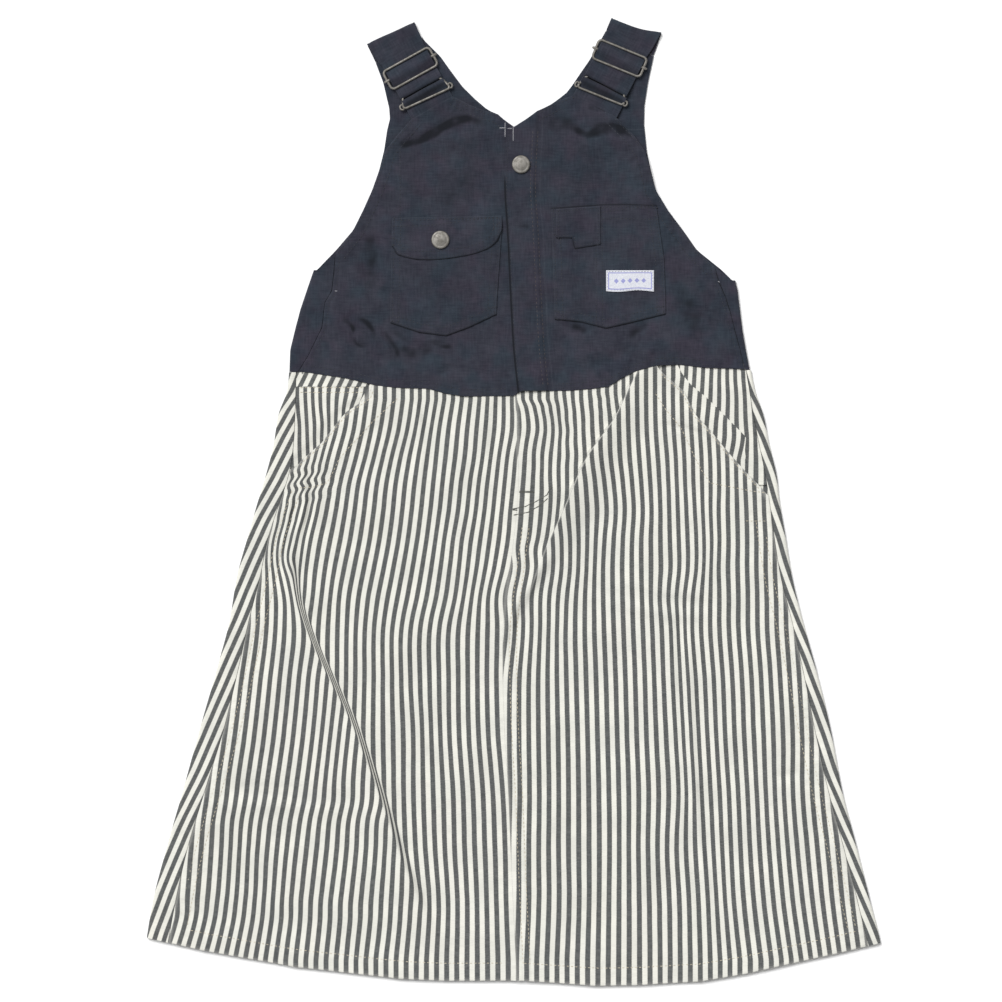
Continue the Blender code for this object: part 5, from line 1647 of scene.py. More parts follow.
placket_edge = curve(PLACKET, "x")
neck_right, neck_left = straight(RIGHT_NECK, "x"), straight(LEFT_NECK, "x")
armhole_right = straight(RIGHT_SHOULDER, "armhole")
armhole_left = straight(LEFT_SHOULDER, "armhole")
bib_side = {name: straight(BIB_SIDES, name) for name in ("right_edge", "left_edge")}
BIB_RUNS = {
    "right": (row_of(BIB_RIGHT), row_of(BIB_TOP_RIGHT)[1:7]),
    "left": (row_of(BIB_LEFT), row_of(BIB_TOP_LEFT)[:7]),
}


def strap_point(side, along, across):
    """x and y of a point on a strap, from its distance along the strap from the shoulder fold and
    across it from its middle. The fold is skewed, and the skew has faded out where the shoulder ends."""
    lean = radians(STRAPS[side]["lean"])
    x, y = STRAPS[side]["fold"]
    along = along + across * STRAPS[side]["skew"] * np.clip(1 - along / UNDER_STRAP, 0, 1)
    return (
        x + along * sin(lean) + across * cos(lean),
        y - along * cos(lean) + across * sin(lean),
    )


def strap_line(side, along):
    """The line square across a strap, at a distance along it from the shoulder fold: y of x."""
    middle_x, middle_y = strap_point(side, along, 0)
    slope = np.tan(radians(STRAPS[side]["lean"]))
    return lambda x: middle_y + (x - middle_x) * slope


def bib_back(surface):
    """One shell: flat behind up to the neck, two shoulders, and a fold round each side that ends at
    the side seam in front."""
    halves = 34
    share = np.linspace(0, 1, halves + 1)
    corner = straight(BACK_CORNERS, "y", "x")
    right_corner, left_corner = columns_of(BACK_CORNERS)["y"]

    def right(y):
        side = bib_side["right_edge"](y) + SIDE_RADIUS
        return np.where(y > right_corner, armhole_right(y), side)

    def left(y):
        side = bib_side["left_edge"](y) - SIDE_RADIUS
        return np.where(y > left_corner, armhole_left(y), side)

    def columns(y):
        y = np.broadcast_to(y, (y.shape[0], 2 * halves + 1))
        from_right = right(y[:, : halves + 1]) * (1 - share)
        return np.concatenate([from_right, left(y[:, halves + 1 :]) * share[1:]], axis=1)

    def level_patch(x, y):
        return shell(x, y, CLOTH, CLOTH, (x, y))

    side_shares = np.linspace(0, 1, 30)
    x, y = grid(columns, shifted(back_waist, GAP / 2), corner, side_shares)
    patches = [
        level_patch(x, y),
        level_patch(*grid(columns, corner, level_at(NECK_LEVEL), np.linspace(0, 1, 40))),
    ]
    turn = np.linspace(pi / 2, -pi / 2, 11)
    strip = np.linspace(0, 1, 6)[:-1]
    for sign, column, seam in ((-1, 0, BIB_RIGHT), (1, -1, BIB_LEFT)):
        foot_x, foot_y = x[:, [column]], y[:, [column]]
        rows = columns_of(seam)
        knots = np.linspace(0, 1, SIDE_ROWS)
        heights = rows["y"][:SIDE_ROWS]
        seam_y = np.interp(side_shares, (heights - heights[0]) / (heights[-1] - heights[0]), heights)
        seam_x = np.interp(seam_y, heights, rows["x"][:SIDE_ROWS])[:, None] + sign * GAP / 2
        seam_y = seam_y[:, None] + GAP / 2 * (side_shares[:, None] == 0)

        def wrap(radius):
            bend_x = foot_x + sign * radius * np.cos(turn)
            across = seam_x * (1 - strip) + (foot_x + 0 * strip) * strip
            rows_y = seam_y * (1 - strip) + foot_y * strip
            wrap_x = np.concatenate([across, bend_x], axis=1)
            wrap_y = np.concatenate([rows_y, foot_y + 0 * bend_x], axis=1)
            rise = SIDE_RADIUS + radius * np.sin(turn)
            level = np.concatenate([0 * strip + SIDE_RADIUS + radius, rise])
            return np.stack([wrap_x, wrap_y, level + 0 * wrap_x], axis=-1)

        outer, inner = wrap(SIDE_RADIUS), wrap(SIDE_RADIUS - CLOTH)
        wear_and_painted_light = 0.45 * np.exp(-((np.arange(outer.shape[1]) - len(strip) - 3) ** 2) / 8)
        patches.append(Patch(outer, inner, (outer[..., 0], outer[..., 1]), wear_and_painted_light))
    for side, start, stop in (
        ("right", armhole_right, neck_right),
        ("left", neck_left, armhole_left),
    ):
        seam = strap_line(side, UNDER_STRAP + GAP)
        x, y = grid(spread(start, stop, halves), level_at(NECK_LEVEL), seam, np.linspace(0, 1, 36))
        edge = rim_distance(x, y)
        wear_and_painted_light = 0.8 * np.exp(-edge / SKIRT_RUBBED)
        patches.append(shell(x, y, CLOTH, CLOTH, (x, y), wear_and_painted_light))
    made = cloth("bib_back_cloth", patches, surface, "denim", ["bib_back"])


def bib_edges(side):
    """The open armhole, the neck and the side seam of one half of the front, as runs of points."""
    flank, neck = BIB_RUNS[side]
    return flank[SIDE_ROWS - 1 :], neck, flank[:SIDE_ROWS]


def bib_relief(x, y, side):
    """Hems of the armhole and the neck, the felled side seam and the small folds of one half."""
    armhole, neck, seam = bib_edges(side)
    around, run = along_line(x, y, armhole)
    throat, neck_run = along_line(x, y, neck)
    flank, seam_run = along_line(x, y, seam)
    relief = band(around, ARMHOLE_HEM, 0.0005) + groove(around, ARMHOLE_HEM - 0.0006)
    relief = relief + puckers(around - ARMHOLE_HEM, run * ARMHOLE_RUN, HARD_PUCKER)
    relief = relief + band(throat, DOUBLE_ROW) + groove(throat, DOUBLE_ROW - 0.0006)
    relief = relief + puckers(throat - DOUBLE_ROW, neck_run * NECK_RUN, 0.0002)
    relief = relief + groove(flank, FLANK_ROW) + puckers(flank, seam_run * FLANK_RUN, 0.00025)
    below = y - waist(x)
    relief = relief + puckers(below - 0.004, x) + groove(below, WAIST_ROWS[0], 0.00012)
    relief = relief + creases(BIB_CREASES, x, y) + unrest(x, y, 0.0005, 3.0)
    return np.maximum(relief, -BIB_PRESSED), around, throat


def placket_top(x, y):
    """Outer face of the placket band, which steps down where the right half ends under it."""
    over = x - placket_edge(y)
    relief = bib_relief(x, y, "left")[0] + groove(over, EDGE_ROW) + puckers(over - EDGE_ROW, y, 0.00012)
    relief = relief - BAND_DIP * ease((over - PLACKET_WIDTH + 0.0016) / 0.0012)
    for row in PLACKET_ROWS:
        relief = relief + groove(over, PLACKET_WIDTH - row)
    return bib_top(x, y) + LAP_RISE * ease(1 - (over - BAND_FLAT) / BAND_FALL) + relief


def bib_fronts(surface):
    """The right half runs on under the placket band, and the left half starts at its far edge."""
    low_waist = shifted(waist, GAP / 2)
    right_side = shifted(straight(BIB_RIGHT, "x"), GAP / 2)
    left_side = shifted(straight(BIB_LEFT, "x"), -GAP / 2)
    underlap = shifted(placket_edge, UNDERLAP)
    band_edge = shifted(placket_edge, PLACKET_WIDTH)
    right_top, left_top = straight(BIB_TOP_RIGHT, "y", "x"), straight(BIB_TOP_LEFT, "y", "x")
    steps = np.array([0.0, 0.0002, 0.0005, 0.0010])
    near_fold = np.linspace(-0.0080, 0.0120, 14)
    to_underlap = gather(right_side, placket_edge, underlap, 112, -steps[::-1], 10)
    across_band = spread(placket_edge, band_edge, 26)
    to_left_side = gather(shifted(band_edge, SEAM_TOUCH), lap_fold["x"], left_side, 48, near_fold, 44)
    for name, side, columns, top, flat, area in (
        ("bib_front_right", "right", to_underlap, right_top, (0.165, 0.205), 0.0235),
        ("front_placket", "left", across_band, left_top, (0.027, 0.190), None),
        ("bib_front_left", "left", to_left_side, left_top, (0.145, 0.205), 0.0170),
    ):
        x, y = grid(columns, top, low_waist, shares(160))
        relief, around, throat = bib_relief(x, y, side)
        edge = rim_distance(x, y)
        height = bib_top(x, y)
        if name == "front_placket":
            height, relief = placket_top(x, y), 0 * x
        if name == "bib_front_right":
            relief = relief * (1 - ease((x - placket_edge(y)) / 0.0020))
        if name == "bib_front_left":
            over = x - band_edge(y)
            relief = relief - BAND_DIP * ease(1 - over / 0.0015)
        wear_and_painted_light = 0.7 * np.exp(-edge / BIB_RUBBED)
        wear_and_painted_light = wear_and_painted_light + 0.14 * np.exp(-(((around - ARMHOLE_HEM) / 0.0010) ** 2))
        wear_and_painted_light = wear_and_painted_light + 0.10 * np.exp(-(((throat - DOUBLE_ROW) / 0.0010) ** 2))
        # Painted shade in the creases' troughs, uneven in strength, and a faint painted highlight on their
        # ridges.
        patchy = 0.90 + unrest(4 * x, 4 * y, 0.6, 5.0)
        wear_and_painted_light = wear_and_painted_light + patchy * painted_fold_light(creases(BIB_CREASES, x, y), BIB_FOLD_SHADE_DEPTH)
        if name == "front_placket":
            # A painted shadow along the placket's near edge, where it laps over the right half.
            below = BAND_SHADE + (1 - BAND_SHADE) * ease((BAND_SHADE_TOP - y) / 0.012)
            away = (x - placket_edge(y)) / (1.3 * EDGE_SHADE)
            wear_and_painted_light = wear_and_painted_light - 1.8 * below * np.exp(-(away**2))
        beside = np.abs(x - band_edge(y)) < BESIDE_SEAM
        roll = np.where(beside & (name != "bib_front_right"), CLOTH, edge)
        patch = shell(x, y, height + relief, CLOTH, (x, y), wear_and_painted_light, roll)
        made = cloth(f"{name}_cloth", [patch], surface, "denim", [name])


def on_bib(y):
    """How far above the bib a piece sewn on it starts."""
    return GAP


def on_pocket(y):
    """The same for a piece sewn on a chest pocket."""
    return GAP + POCKET_RISE


def on_pocket_and_bib(y):
    """The same for the flap, whose upper edge lies on the bib and the rest on the pocket."""
    return GAP + POCKET_RISE * ease((RIGHT_CHEST_TOP + FLAP_CLEAR + FLAP_STEP - y) / FLAP_STEP)


class SewnOn:
    """A piece sewn flat on the bib: its grid, its outline, the height of its outer face, and which
    of its rows, the first or the last, are edges along which a shadow is painted."""

    def __init__(self, side, level, columns, top, foot, rows, dark=(-1,)):
        self.side, self.level, self.dark = side, level, dark
        self.x, self.y = grid(columns, top, foot, shares(rows))
        self.outline = outline_of(self.x, self.y)

    def top(self, x, y):
        """The bib's relief under it, carried up, pulled in along the edge row and full within it."""
        edge = along_line(x, y, self.outline)[0]
        relief = bib_relief(x, y, self.side)[0] + groove(edge, EDGE_ROW, 0.00030)
        relief = relief + puckers(edge - EDGE_ROW, x + y, 0.00018) + creases(POCKET_CREASES, x, y)
        if self.side == "left":
            relief = relief + groove(x, DIVIDER[0]) + groove(x, DIVIDER[1])
            relief = relief + 0.0003 * np.exp(-(((x - PEN_ROOM) / 0.0030) ** 2))
        return front_top(x, y) + self.level(y) + THIN + relief + 0.00035 * ease(edge / 0.012)

    def make(self, name, surface):
        """The piece itself: pale from wear along its edges, with a painted shadow along the rows in dark.
        """
        edge = along_line(self.x, self.y, self.outline)[0]
        top = self.top(self.x, self.y)
        wear_and_painted_light = 0.8 * np.exp(-edge / BIB_RUBBED)
        # Painted shade in the bib's crease troughs and a faint painted highlight on their ridges.
        wear_and_painted_light = wear_and_painted_light + painted_fold_light(creases(BIB_CREASES, self.x, self.y), BIB_FOLD_SHADE_DEPTH)
        # A painted shadow along the edge rows listed in dark, standing for the shade below them.
        for row in self.dark:
            run = np.stack([self.x[row], self.y[row]], axis=1)
            away = along_line(self.x, self.y, run)[0]
            wear_and_painted_light = wear_and_painted_light - 1.5 * np.exp(-((away / EDGE_SHADE) ** 2))
        patch = shell(self.x, self.y, top, THIN, (self.x + 0.0003, self.y), wear_and_painted_light, edge)
        made = cloth(f"{name}_cloth", [patch], surface, "denim", [name])


def sides_of(text, count):
    """Columns spread between the two edges of a table of side edges."""
    first, last = text.split("\n")[0].split()[1:]
    return spread(straight(text, first), straight(text, last), count)


flap_foot = curve(FLAP_FOOT, "y", "x")
left_chest_top = straight(LEFT_CHEST_TOP, "y", "x")
chest_right = SewnOn(
    "right", on_bib, sides_of(RIGHT_CHEST_SIDES, 48), level_at(RIGHT_CHEST_TOP),
    straight(RIGHT_CHEST_FOOT, "y", "x"), 44,
)
flap = SewnOn(
    "right", on_pocket_and_bib, sides_of(RIGHT_CHEST_SIDES, 56), straight(FLAP_TOP, "y", "x"),
    flap_foot, 30,
)
chest_left = SewnOn(
    "left", on_bib, sides_of(LEFT_CHEST_SIDES, 50), left_chest_top,
    straight(LEFT_CHEST_FOOT, "y", "x"), 50, (0, -1),
)
pen_band = SewnOn(
    "left", on_pocket, sides_of(PEN_BAND_SIDES, 34), shifted(left_chest_top, -PEN_BAND_INSET),
    straight(PEN_BAND_FOOT, "y", "x"), 22,
)


def chest_pockets(surface):
    """Patch pockets on the bib, the flap over one, and the band of the pen slot on the other."""
    chest_right.make("chest_pocket_right", surface)
    flap.make("pocket_flap", surface)
    chest_left.make("chest_pocket_left", surface)
    pen_band.make("pen_band", surface)


def sewn_label(surface):
    """The label on the left pocket: a small rectangle whose lower edge is not quite level."""
    width, height = LABEL_SIZE
    across, up = np.meshgrid(shares(36), shares(18))
    x = LABEL_CENTRE[0] + (across - 0.5) * width
    y = LABEL_CENTRE[1] + (up - 0.5) * height - 0.0005 * np.sin(across * 7.0) * (1 - up)
    edge = rim_distance(x, y)
    under = bib_relief(x, y, "left")[0]
    lift = under + LABEL_LIFT + 0.00025 * np.sin(across * 9.0) * (0.5 - up)
    top = front_top(x, y) + on_pocket(y) + THIN + lift
    patch = shell(x, y, top, THIN, (across, up), 0.0, edge)
    made = cloth("label_cloth", [patch], surface, "woven_label", ["label"])


# ---- Straps, sliders and loops ----

# How far a strap's middle passes from the wire it goes round, the level of its hidden leg, how wide
# the painted shade over the hollow behind a tab's bar is, how far the tab laps the bib, and how the
# loop narrows.
WRAP = WIRE + GAP + THIN / 2
INNER_LEG = BACK_TOP + GAP + THIN / 2
HOLLOW, TAB_LAP, LOOP_TAPER = 0.0022, 0.0008, 0.22
# The wires' sections: points round them, and how much thinner or thicker than the frames' wire the
# middle bars, the sleeves that hold them and the eyes are. Then the eyes' radius and the turn at
# which one starts and ends.
WIRE_SIDES, EYE_SIDES = 14, 10
BAR_WIRE, SLEEVE_WIRE, EYE_WIRE = 0.95, 1.25, 0.80
SLEEVE_FROM, SLEEVE_TO = -0.0012, 0.0010
EYE_RADIUS, EYE_TURN = 0.0017, (-0.4, 2 * pi * 0.92)
SNAP_SIDES = 56
# A stitch: rings along it and points round each, how much it leans to and fro, and how far its
# thread stands up and its ends dip in.
STITCH_RINGS, STITCH_SIDES = 5, 6
STITCH_LEAN, STITCH_RISE, STITCH_DIP = 0.06, 0.25, 0.00025


def arc(centre, radius, start, stop, steps=15):
    """Points of an arc in a strap's side view: (along, height)."""
    turn = np.radians(np.linspace(start, stop, steps))
    return np.stack([centre[0] + radius * np.cos(turn), centre[1] + radius * np.sin(turn)], axis=1)


def ramp(start, stop, steps=9):
    """Points that pass smoothly from one (along, height) to another, without the last one."""
    share = np.linspace(0, 1, steps + 1)[:-1, None]
    start, stop = np.array(start), np.array(stop)
    return np.concatenate(
        [start[:1] + (stop - start)[:1] * share, start[1:] + (stop - start)[1:] * ease(share)],
        axis=1,
    )


def finer(path, step=0.0009):
    """The same path with points no further apart than a step."""
    lengths = np.hypot(*np.diff(path, axis=0).T)
    run = np.concatenate([[0], np.cumsum(lengths)])
    at = np.unique(np.concatenate([run, np.arange(0, run[-1], step)]))
    return np.stack([np.interp(at, run, path[:, 0]), np.interp(at, run, path[:, 1])], axis=1)


def ribbon(name, side, path, half_width, surface, nodes, dark=None):
    """A band of thin cloth carried along a path of (along, height) points of a strap: at each point
    a line across it, bowed a little in its middle and rolled over at its two edges. Near the
    shoulder's fold it is wider, its lower layer fans out to the shoulder's outer corner, and the fold
    rises and sags. Dark is where along the strap shade is painted over a hollow."""
    path, shape = finer(path), FOLDS[side]
    ahead = np.gradient(path, axis=0)
    ahead /= np.linalg.norm(ahead, axis=1, keepdims=True)
    square = np.stack([-ahead[:, 1], ahead[:, 0]], axis=1)
    run = np.concatenate([[0], np.cumsum(np.hypot(*np.diff(path, axis=0).T))])[:, None]
    share = shares(25) * 2 - 1
    near_fold = np.clip(1 - path[:, :1] / UNDER_STRAP, 0, 1)
    half = half_width(path[:, 0])[:, None] + shape["wider"] * near_fold
    edge = (1 - np.abs(share))[None, :] * half
    lower = ease((WRAP - path[:, 1:]) / WRAP + 0.5) * np.clip(path[:, :1] / UNDER_STRAP, 0, 1)
    lower = lower * (path[:, :1] <= UNDER_STRAP + GAP)
    fan = shape["corner"] * lower * ease(share * shape["outwards"]) * shape["outwards"]
    rise = (shape["rise"] - shape["sag"] * (1 - share**2)) * near_fold
    inside = np.clip(1 - edge / (THIN / 2), 0, 1)
    rolled = THIN / 2 * (1 - np.sqrt(1 - inside**2))
    wave = np.sin(2 * pi * run / STRAP_WAVE_PITCH + 3 * share)
    uneven = STRAP_WAVE * wave * (1 - share**2)
    lift = groove(edge, EDGE_ROW, 0.0002) + puckers(edge - EDGE_ROW, run, 0.00010) + uneven
    faces = []
    for offset in (THIN / 2 + lift - rolled, -THIN / 2 + 0 * lift):
        along = path[:, :1] + square[:, :1] * offset
        height = path[:, 1:] + square[:, 1:] * offset
        x, y = strap_point(side, along - rise, share * half + fan)
        faces.append(np.stack([x, y, np.broadcast_to(height, x.shape)], axis=-1))
    wear_and_painted_light = 0.7 * np.exp(-edge / 0.0010) + 0 * run
    if dark is not None:
        # Painted shade over the hollow behind the bar.
        wear_and_painted_light = wear_and_painted_light - 0.6 * np.exp(-(((path[:, :1] - dark) / HOLLOW) ** 2))
    patch = Patch(faces[0], faces[1], (share * half, run + 0 * edge), wear_and_painted_light)
    made = cloth(name, [patch], surface, "denim", nodes)


def straps(surface):
    """From under the shoulder round the fold, under, over and under the slider's bars, round the
    loop's top bar, and back below to the slider."""
    ground, below, above = THIN / 2, SLIDER_LEVEL - WRAP, SLIDER_LEVEL + WRAP
    fold = (below - ground) / 2
    bend = (LOOP_LOW + WRAP - INNER_LEG) / 2
    for side, at in STRAPS.items():
        slider, bar = at["slider"], at["loop"] - 2 * LOOP_PITCH
        before, after = slider - SLIDER_HALF_LENGTH, slider + SLIDER_HALF_LENGTH

        def half_width(along, slider=slider):
            narrow = ease((slider - NARROWING_START - along) / NARROWING)
            return STRAP_HALF_IN_SLIDER + (STRAP_HALF - STRAP_HALF_IN_SLIDER) * narrow

        path = np.concatenate(
            [
                [(UNDER_STRAP, ground), (UNDER_STRAP / 2, ground)],
                arc((fold + THIN / 2, ground + fold), fold, 270, 90),
                [(before - STRAP_LEAD, below), (before - WIRE, below)],
                ramp((before, below), (slider, above)),
                ramp((slider, above), (after, below)),
                ramp((after, below), (bar, LOOP_LOW + WRAP)),
                arc((bar, INNER_LEG + bend), bend, 90, -90),
                [(after, INNER_LEG), (slider + STRAP_LEAD, INNER_LEG)],
            ]
        )
        ribbon(
            f"strap_{side}_cloth", side, path, half_width, surface, [f"strap_{side}"],
        )


def tabs(surface):
    """From the bib's top edge under the loop's lowest bar, over and round its middle bar, and back
    below, under the bib's edge."""
    middle = (LOOP_LOW + LOOP_HIGH) / 2
    bib_level = FRONT_FLOOR + CLOTH / 2
    for side, at in STRAPS.items():
        low_bar, bar = at["loop"], at["loop"] - LOOP_PITCH
        seam = low_bar + TAB_SEAM
        path = np.concatenate(
            [
                [(seam + TAB_LAP, bib_level), (low_bar + STRAP_LEAD, LOOP_HIGH - WRAP)],
                ramp((low_bar, LOOP_HIGH - WRAP), (bar, middle + WRAP)),
                arc((bar, middle), WRAP, 90, 270),
                ramp((bar + WIRE, middle - WRAP), (low_bar, INNER_LEG), 5),
                [(low_bar, INNER_LEG), (seam, INNER_LEG), (seam + TAB_UNDER, INNER_LEG)],
            ]
        )
        path = path[::-1]
        # The last argument puts painted shade just past the middle bar, over the hollow there.
        ribbon(
            f"tab_{side}_cloth", side, path, lambda t, side=side: np.full_like(t, TAB_HALF[side]),
            surface, [f"tab_{side}"], bar + HOLLOW * 0.6,
        )


def tube(points, radius, closed, sides=WIRE_SIDES):
    """Points and faces of a round wire: a circle carried along a run of points, square to it. An
    open wire ends in two smaller rings and a point, so that its ends are round."""
    if closed:
        ahead = np.roll(points, -1, axis=0) - np.roll(points, 1, axis=0)
    else:
        ahead = np.gradient(points, axis=0)
        first, last = ahead[0] / np.linalg.norm(ahead[0]), ahead[-1] / np.linalg.norm(ahead[-1])
        points = np.concatenate(
            [[points[0] - first * radius], [points[0] - first * radius * 0.7], points,
             [points[-1] + last * radius * 0.7], [points[-1] + last * radius]]
        )
        ahead = np.concatenate([ahead[:1], ahead[:1], ahead, ahead[-1:], ahead[-1:]])
    count = len(points)
    ahead = ahead / np.linalg.norm(ahead, axis=1, keepdims=True)
    sideways = np.cross(ahead, [0.0, 0.0, 1.0])
    steep = np.linalg.norm(sideways, axis=1) < 1e-6
    sideways[steep] = (1.0, 0.0, 0.0)
    sideways /= np.linalg.norm(sideways, axis=1, keepdims=True)
    up = np.cross(sideways, ahead)
    size = np.full(count, radius)
    if not closed:
        size[[0, -1]] = radius * 0.05
        size[[1, -2]] = radius * 0.72
    turn = np.arange(sides) * 2 * pi / sides
    ring = sideways[:, None] * np.cos(turn)[None, :, None] + up[:, None] * np.sin(turn)[None, :, None]
    skin = (points[:, None] + size[:, None, None] * ring).reshape(-1, 3)
    first = np.arange(count if closed else count - 1)[:, None] * sides
    after = (first + sides) % (count * sides)
    k = np.arange(sides)[None, :]
    m = (k + 1) % sides
    quads = np.stack([first + k, first + m, after + m, after + k], axis=-1).reshape(-1, 4)
    faces = quads.tolist()
    if not closed:
        faces.append(list(range(sides))[::-1])
        faces.append([(count - 1) * sides + i for i in range(sides)])
    return skin, faces


def joined(parts):
    """One run of points and faces from several."""
    points, faces, start = [], [], 0
    for part_points, part_faces in parts:
        points.append(part_points)
        faces += [[start + i for i in face] for face in part_faces]
        start += len(part_points)
    return np.concatenate(points), faces


def rounded_frame(near, far, half_width, corner, steps=8):
    """Along and across of a rectangle with round corners."""
    along, across = [], []
    for along_middle, across_middle, start in (
        (far - corner, half_width - corner, 0),
        (far - corner, corner - half_width, 1),
        (near + corner, corner - half_width, 2),
        (near + corner, half_width - corner, 3),
    ):
        turn = np.linspace(0, pi / 2, steps) + start * pi / 2
        across.append(across_middle + corner * np.cos(turn))
        along.append(along_middle + corner * np.sin(turn))
    return np.concatenate(along), np.concatenate(across)


def curl(along, across, level, outwards):
    """A wire's end, bent back into a small eye: nearly a full turn beside the bar, as its points'
    places along and across and their heights."""
    turn = np.linspace(*EYE_TURN, 22)
    eye_along = along - EYE_RADIUS * np.cos(turn) + EYE_RADIUS * 0.2
    eye_across = across + outwards * (EYE_RADIUS * 0.35 + EYE_RADIUS * np.sin(turn) * 0.75)
    return eye_along, eye_across, level + 0.0006 * np.linspace(-1, 1, len(turn))


def buckles(surface):
    """The two sliders are level wire frames whose middle bars end in nubs; the two loops rise
    towards their lowest bars, whose wire ends curl into eyes."""
    for side, at in STRAPS.items():
        near, far = at["slider"] - SLIDER_HALF_LENGTH, at["slider"] + SLIDER_HALF_LENGTH

        def wire(along, across, level, about=at["slider"], turn=SLIDERS[side]["turn"]):
            turn, off = radians(turn), along - about
            turned_along = about + off * cos(turn) + across * sin(turn)
            x, y = strap_point(side, turned_along, across * cos(turn) - off * sin(turn))
            return np.stack([x, y, level + 0 * x], axis=1)

        half = SLIDER_HALF_WIDTH + SLIDERS[side]["longer"]
        along, across = rounded_frame(near, far, half, BUCKLE_CORNER)
        reach = half + NUB_REACH
        bar = wire(np.full(9, at["slider"]), np.linspace(-reach, reach, 9), SLIDER_LEVEL)
        parts = [
            tube(wire(along, across, SLIDER_LEVEL), WIRE, True),
            tube(bar, WIRE * BAR_WIRE, False),
        ]
        for end in (-1, 1):
            sleeve = np.linspace(half + SLEEVE_FROM, half + SLEEVE_TO, 5) * end
            run = wire(np.full(5, at["slider"]), sleeve, SLIDER_LEVEL)
            parts.append(tube(run, WIRE * SLEEVE_WIRE, False))
        points, faces = joined(parts)
        piece(f"slider_{side}_wire", points, faces, surface, "aged_pewter", [f"slider_{side}"])

        far = at["loop"]
        near = far - 2 * LOOP_PITCH

        def rising(along):
            return np.interp(along, (near, far), (LOOP_LOW, LOOP_HIGH))

        turn = dict(about=far, turn=LOOPS[side]["turn"])
        half = LOOP_HALF_WIDTH + LOOPS[side]["longer"]
        along, across = rounded_frame(near, far, half, BUCKLE_CORNER)
        across = across * (1 - LOOP_TAPER * (far - along) / (far - near))
        middle, inner = (near + far) / 2, half * (1 - LOOP_TAPER / 2)
        bar = wire(np.full(9, middle), np.linspace(-inner, inner, 9), rising(middle), **turn)
        parts = [
            tube(wire(along, across, rising(along), **turn), WIRE, True),
            tube(bar, WIRE * BAR_WIRE, False),
        ]
        for end in (-1, 1):
            eye = curl(far - LOOP_PITCH * 0.40, end * (half - 0.0004), rising(far) - 0.0004, end)
            parts.append(tube(wire(*eye, **turn), WIRE * EYE_WIRE, False, EYE_SIDES))
        points, faces = joined(parts)
        piece(f"loop_{side}_wire", points, faces, surface, "aged_pewter", [f"loop_{side}"])


def snap(name, place, level, surface):
    """A turned cap: the profile spun about its own axis, closed below by a flat foot."""
    rows = columns_of(SNAP_PROFILE)
    radius, height = rows["radius"][1:], rows["height"][1:]
    turn = np.arange(SNAP_SIDES) * 2 * pi / SNAP_SIDES
    ring_x = place[0] + radius[:, None] * np.cos(turn)
    ring_y = place[1] + radius[:, None] * np.sin(turn)
    ring_z = level + np.broadcast_to(height[:, None], ring_x.shape)
    rings = np.stack([ring_x, ring_y, ring_z], axis=-1).reshape(-1, 3)
    crown = len(rings)
    points = np.concatenate([rings, [(*place, level + rows["height"][0]), (*place, level)]])
    k = np.arange(SNAP_SIDES)
    m = (k + 1) % SNAP_SIDES
    start = (np.arange(len(radius) - 1) * SNAP_SIDES)[:, None]
    below = start + SNAP_SIDES
    faces = np.stack([start + k, below + k, below + m, start + m], axis=-1).reshape(-1, 4).tolist()
    faces += np.stack([k * 0 + crown, k, m], axis=1).tolist()
    foot = (len(radius) - 1) * SNAP_SIDES
    faces += np.stack([k * 0 + crown + 1, foot + m, foot + k], axis=1).tolist()
    piece(f"{name}_cap", points, faces, surface, "aged_pewter", [name])


# ---- Sewing ----


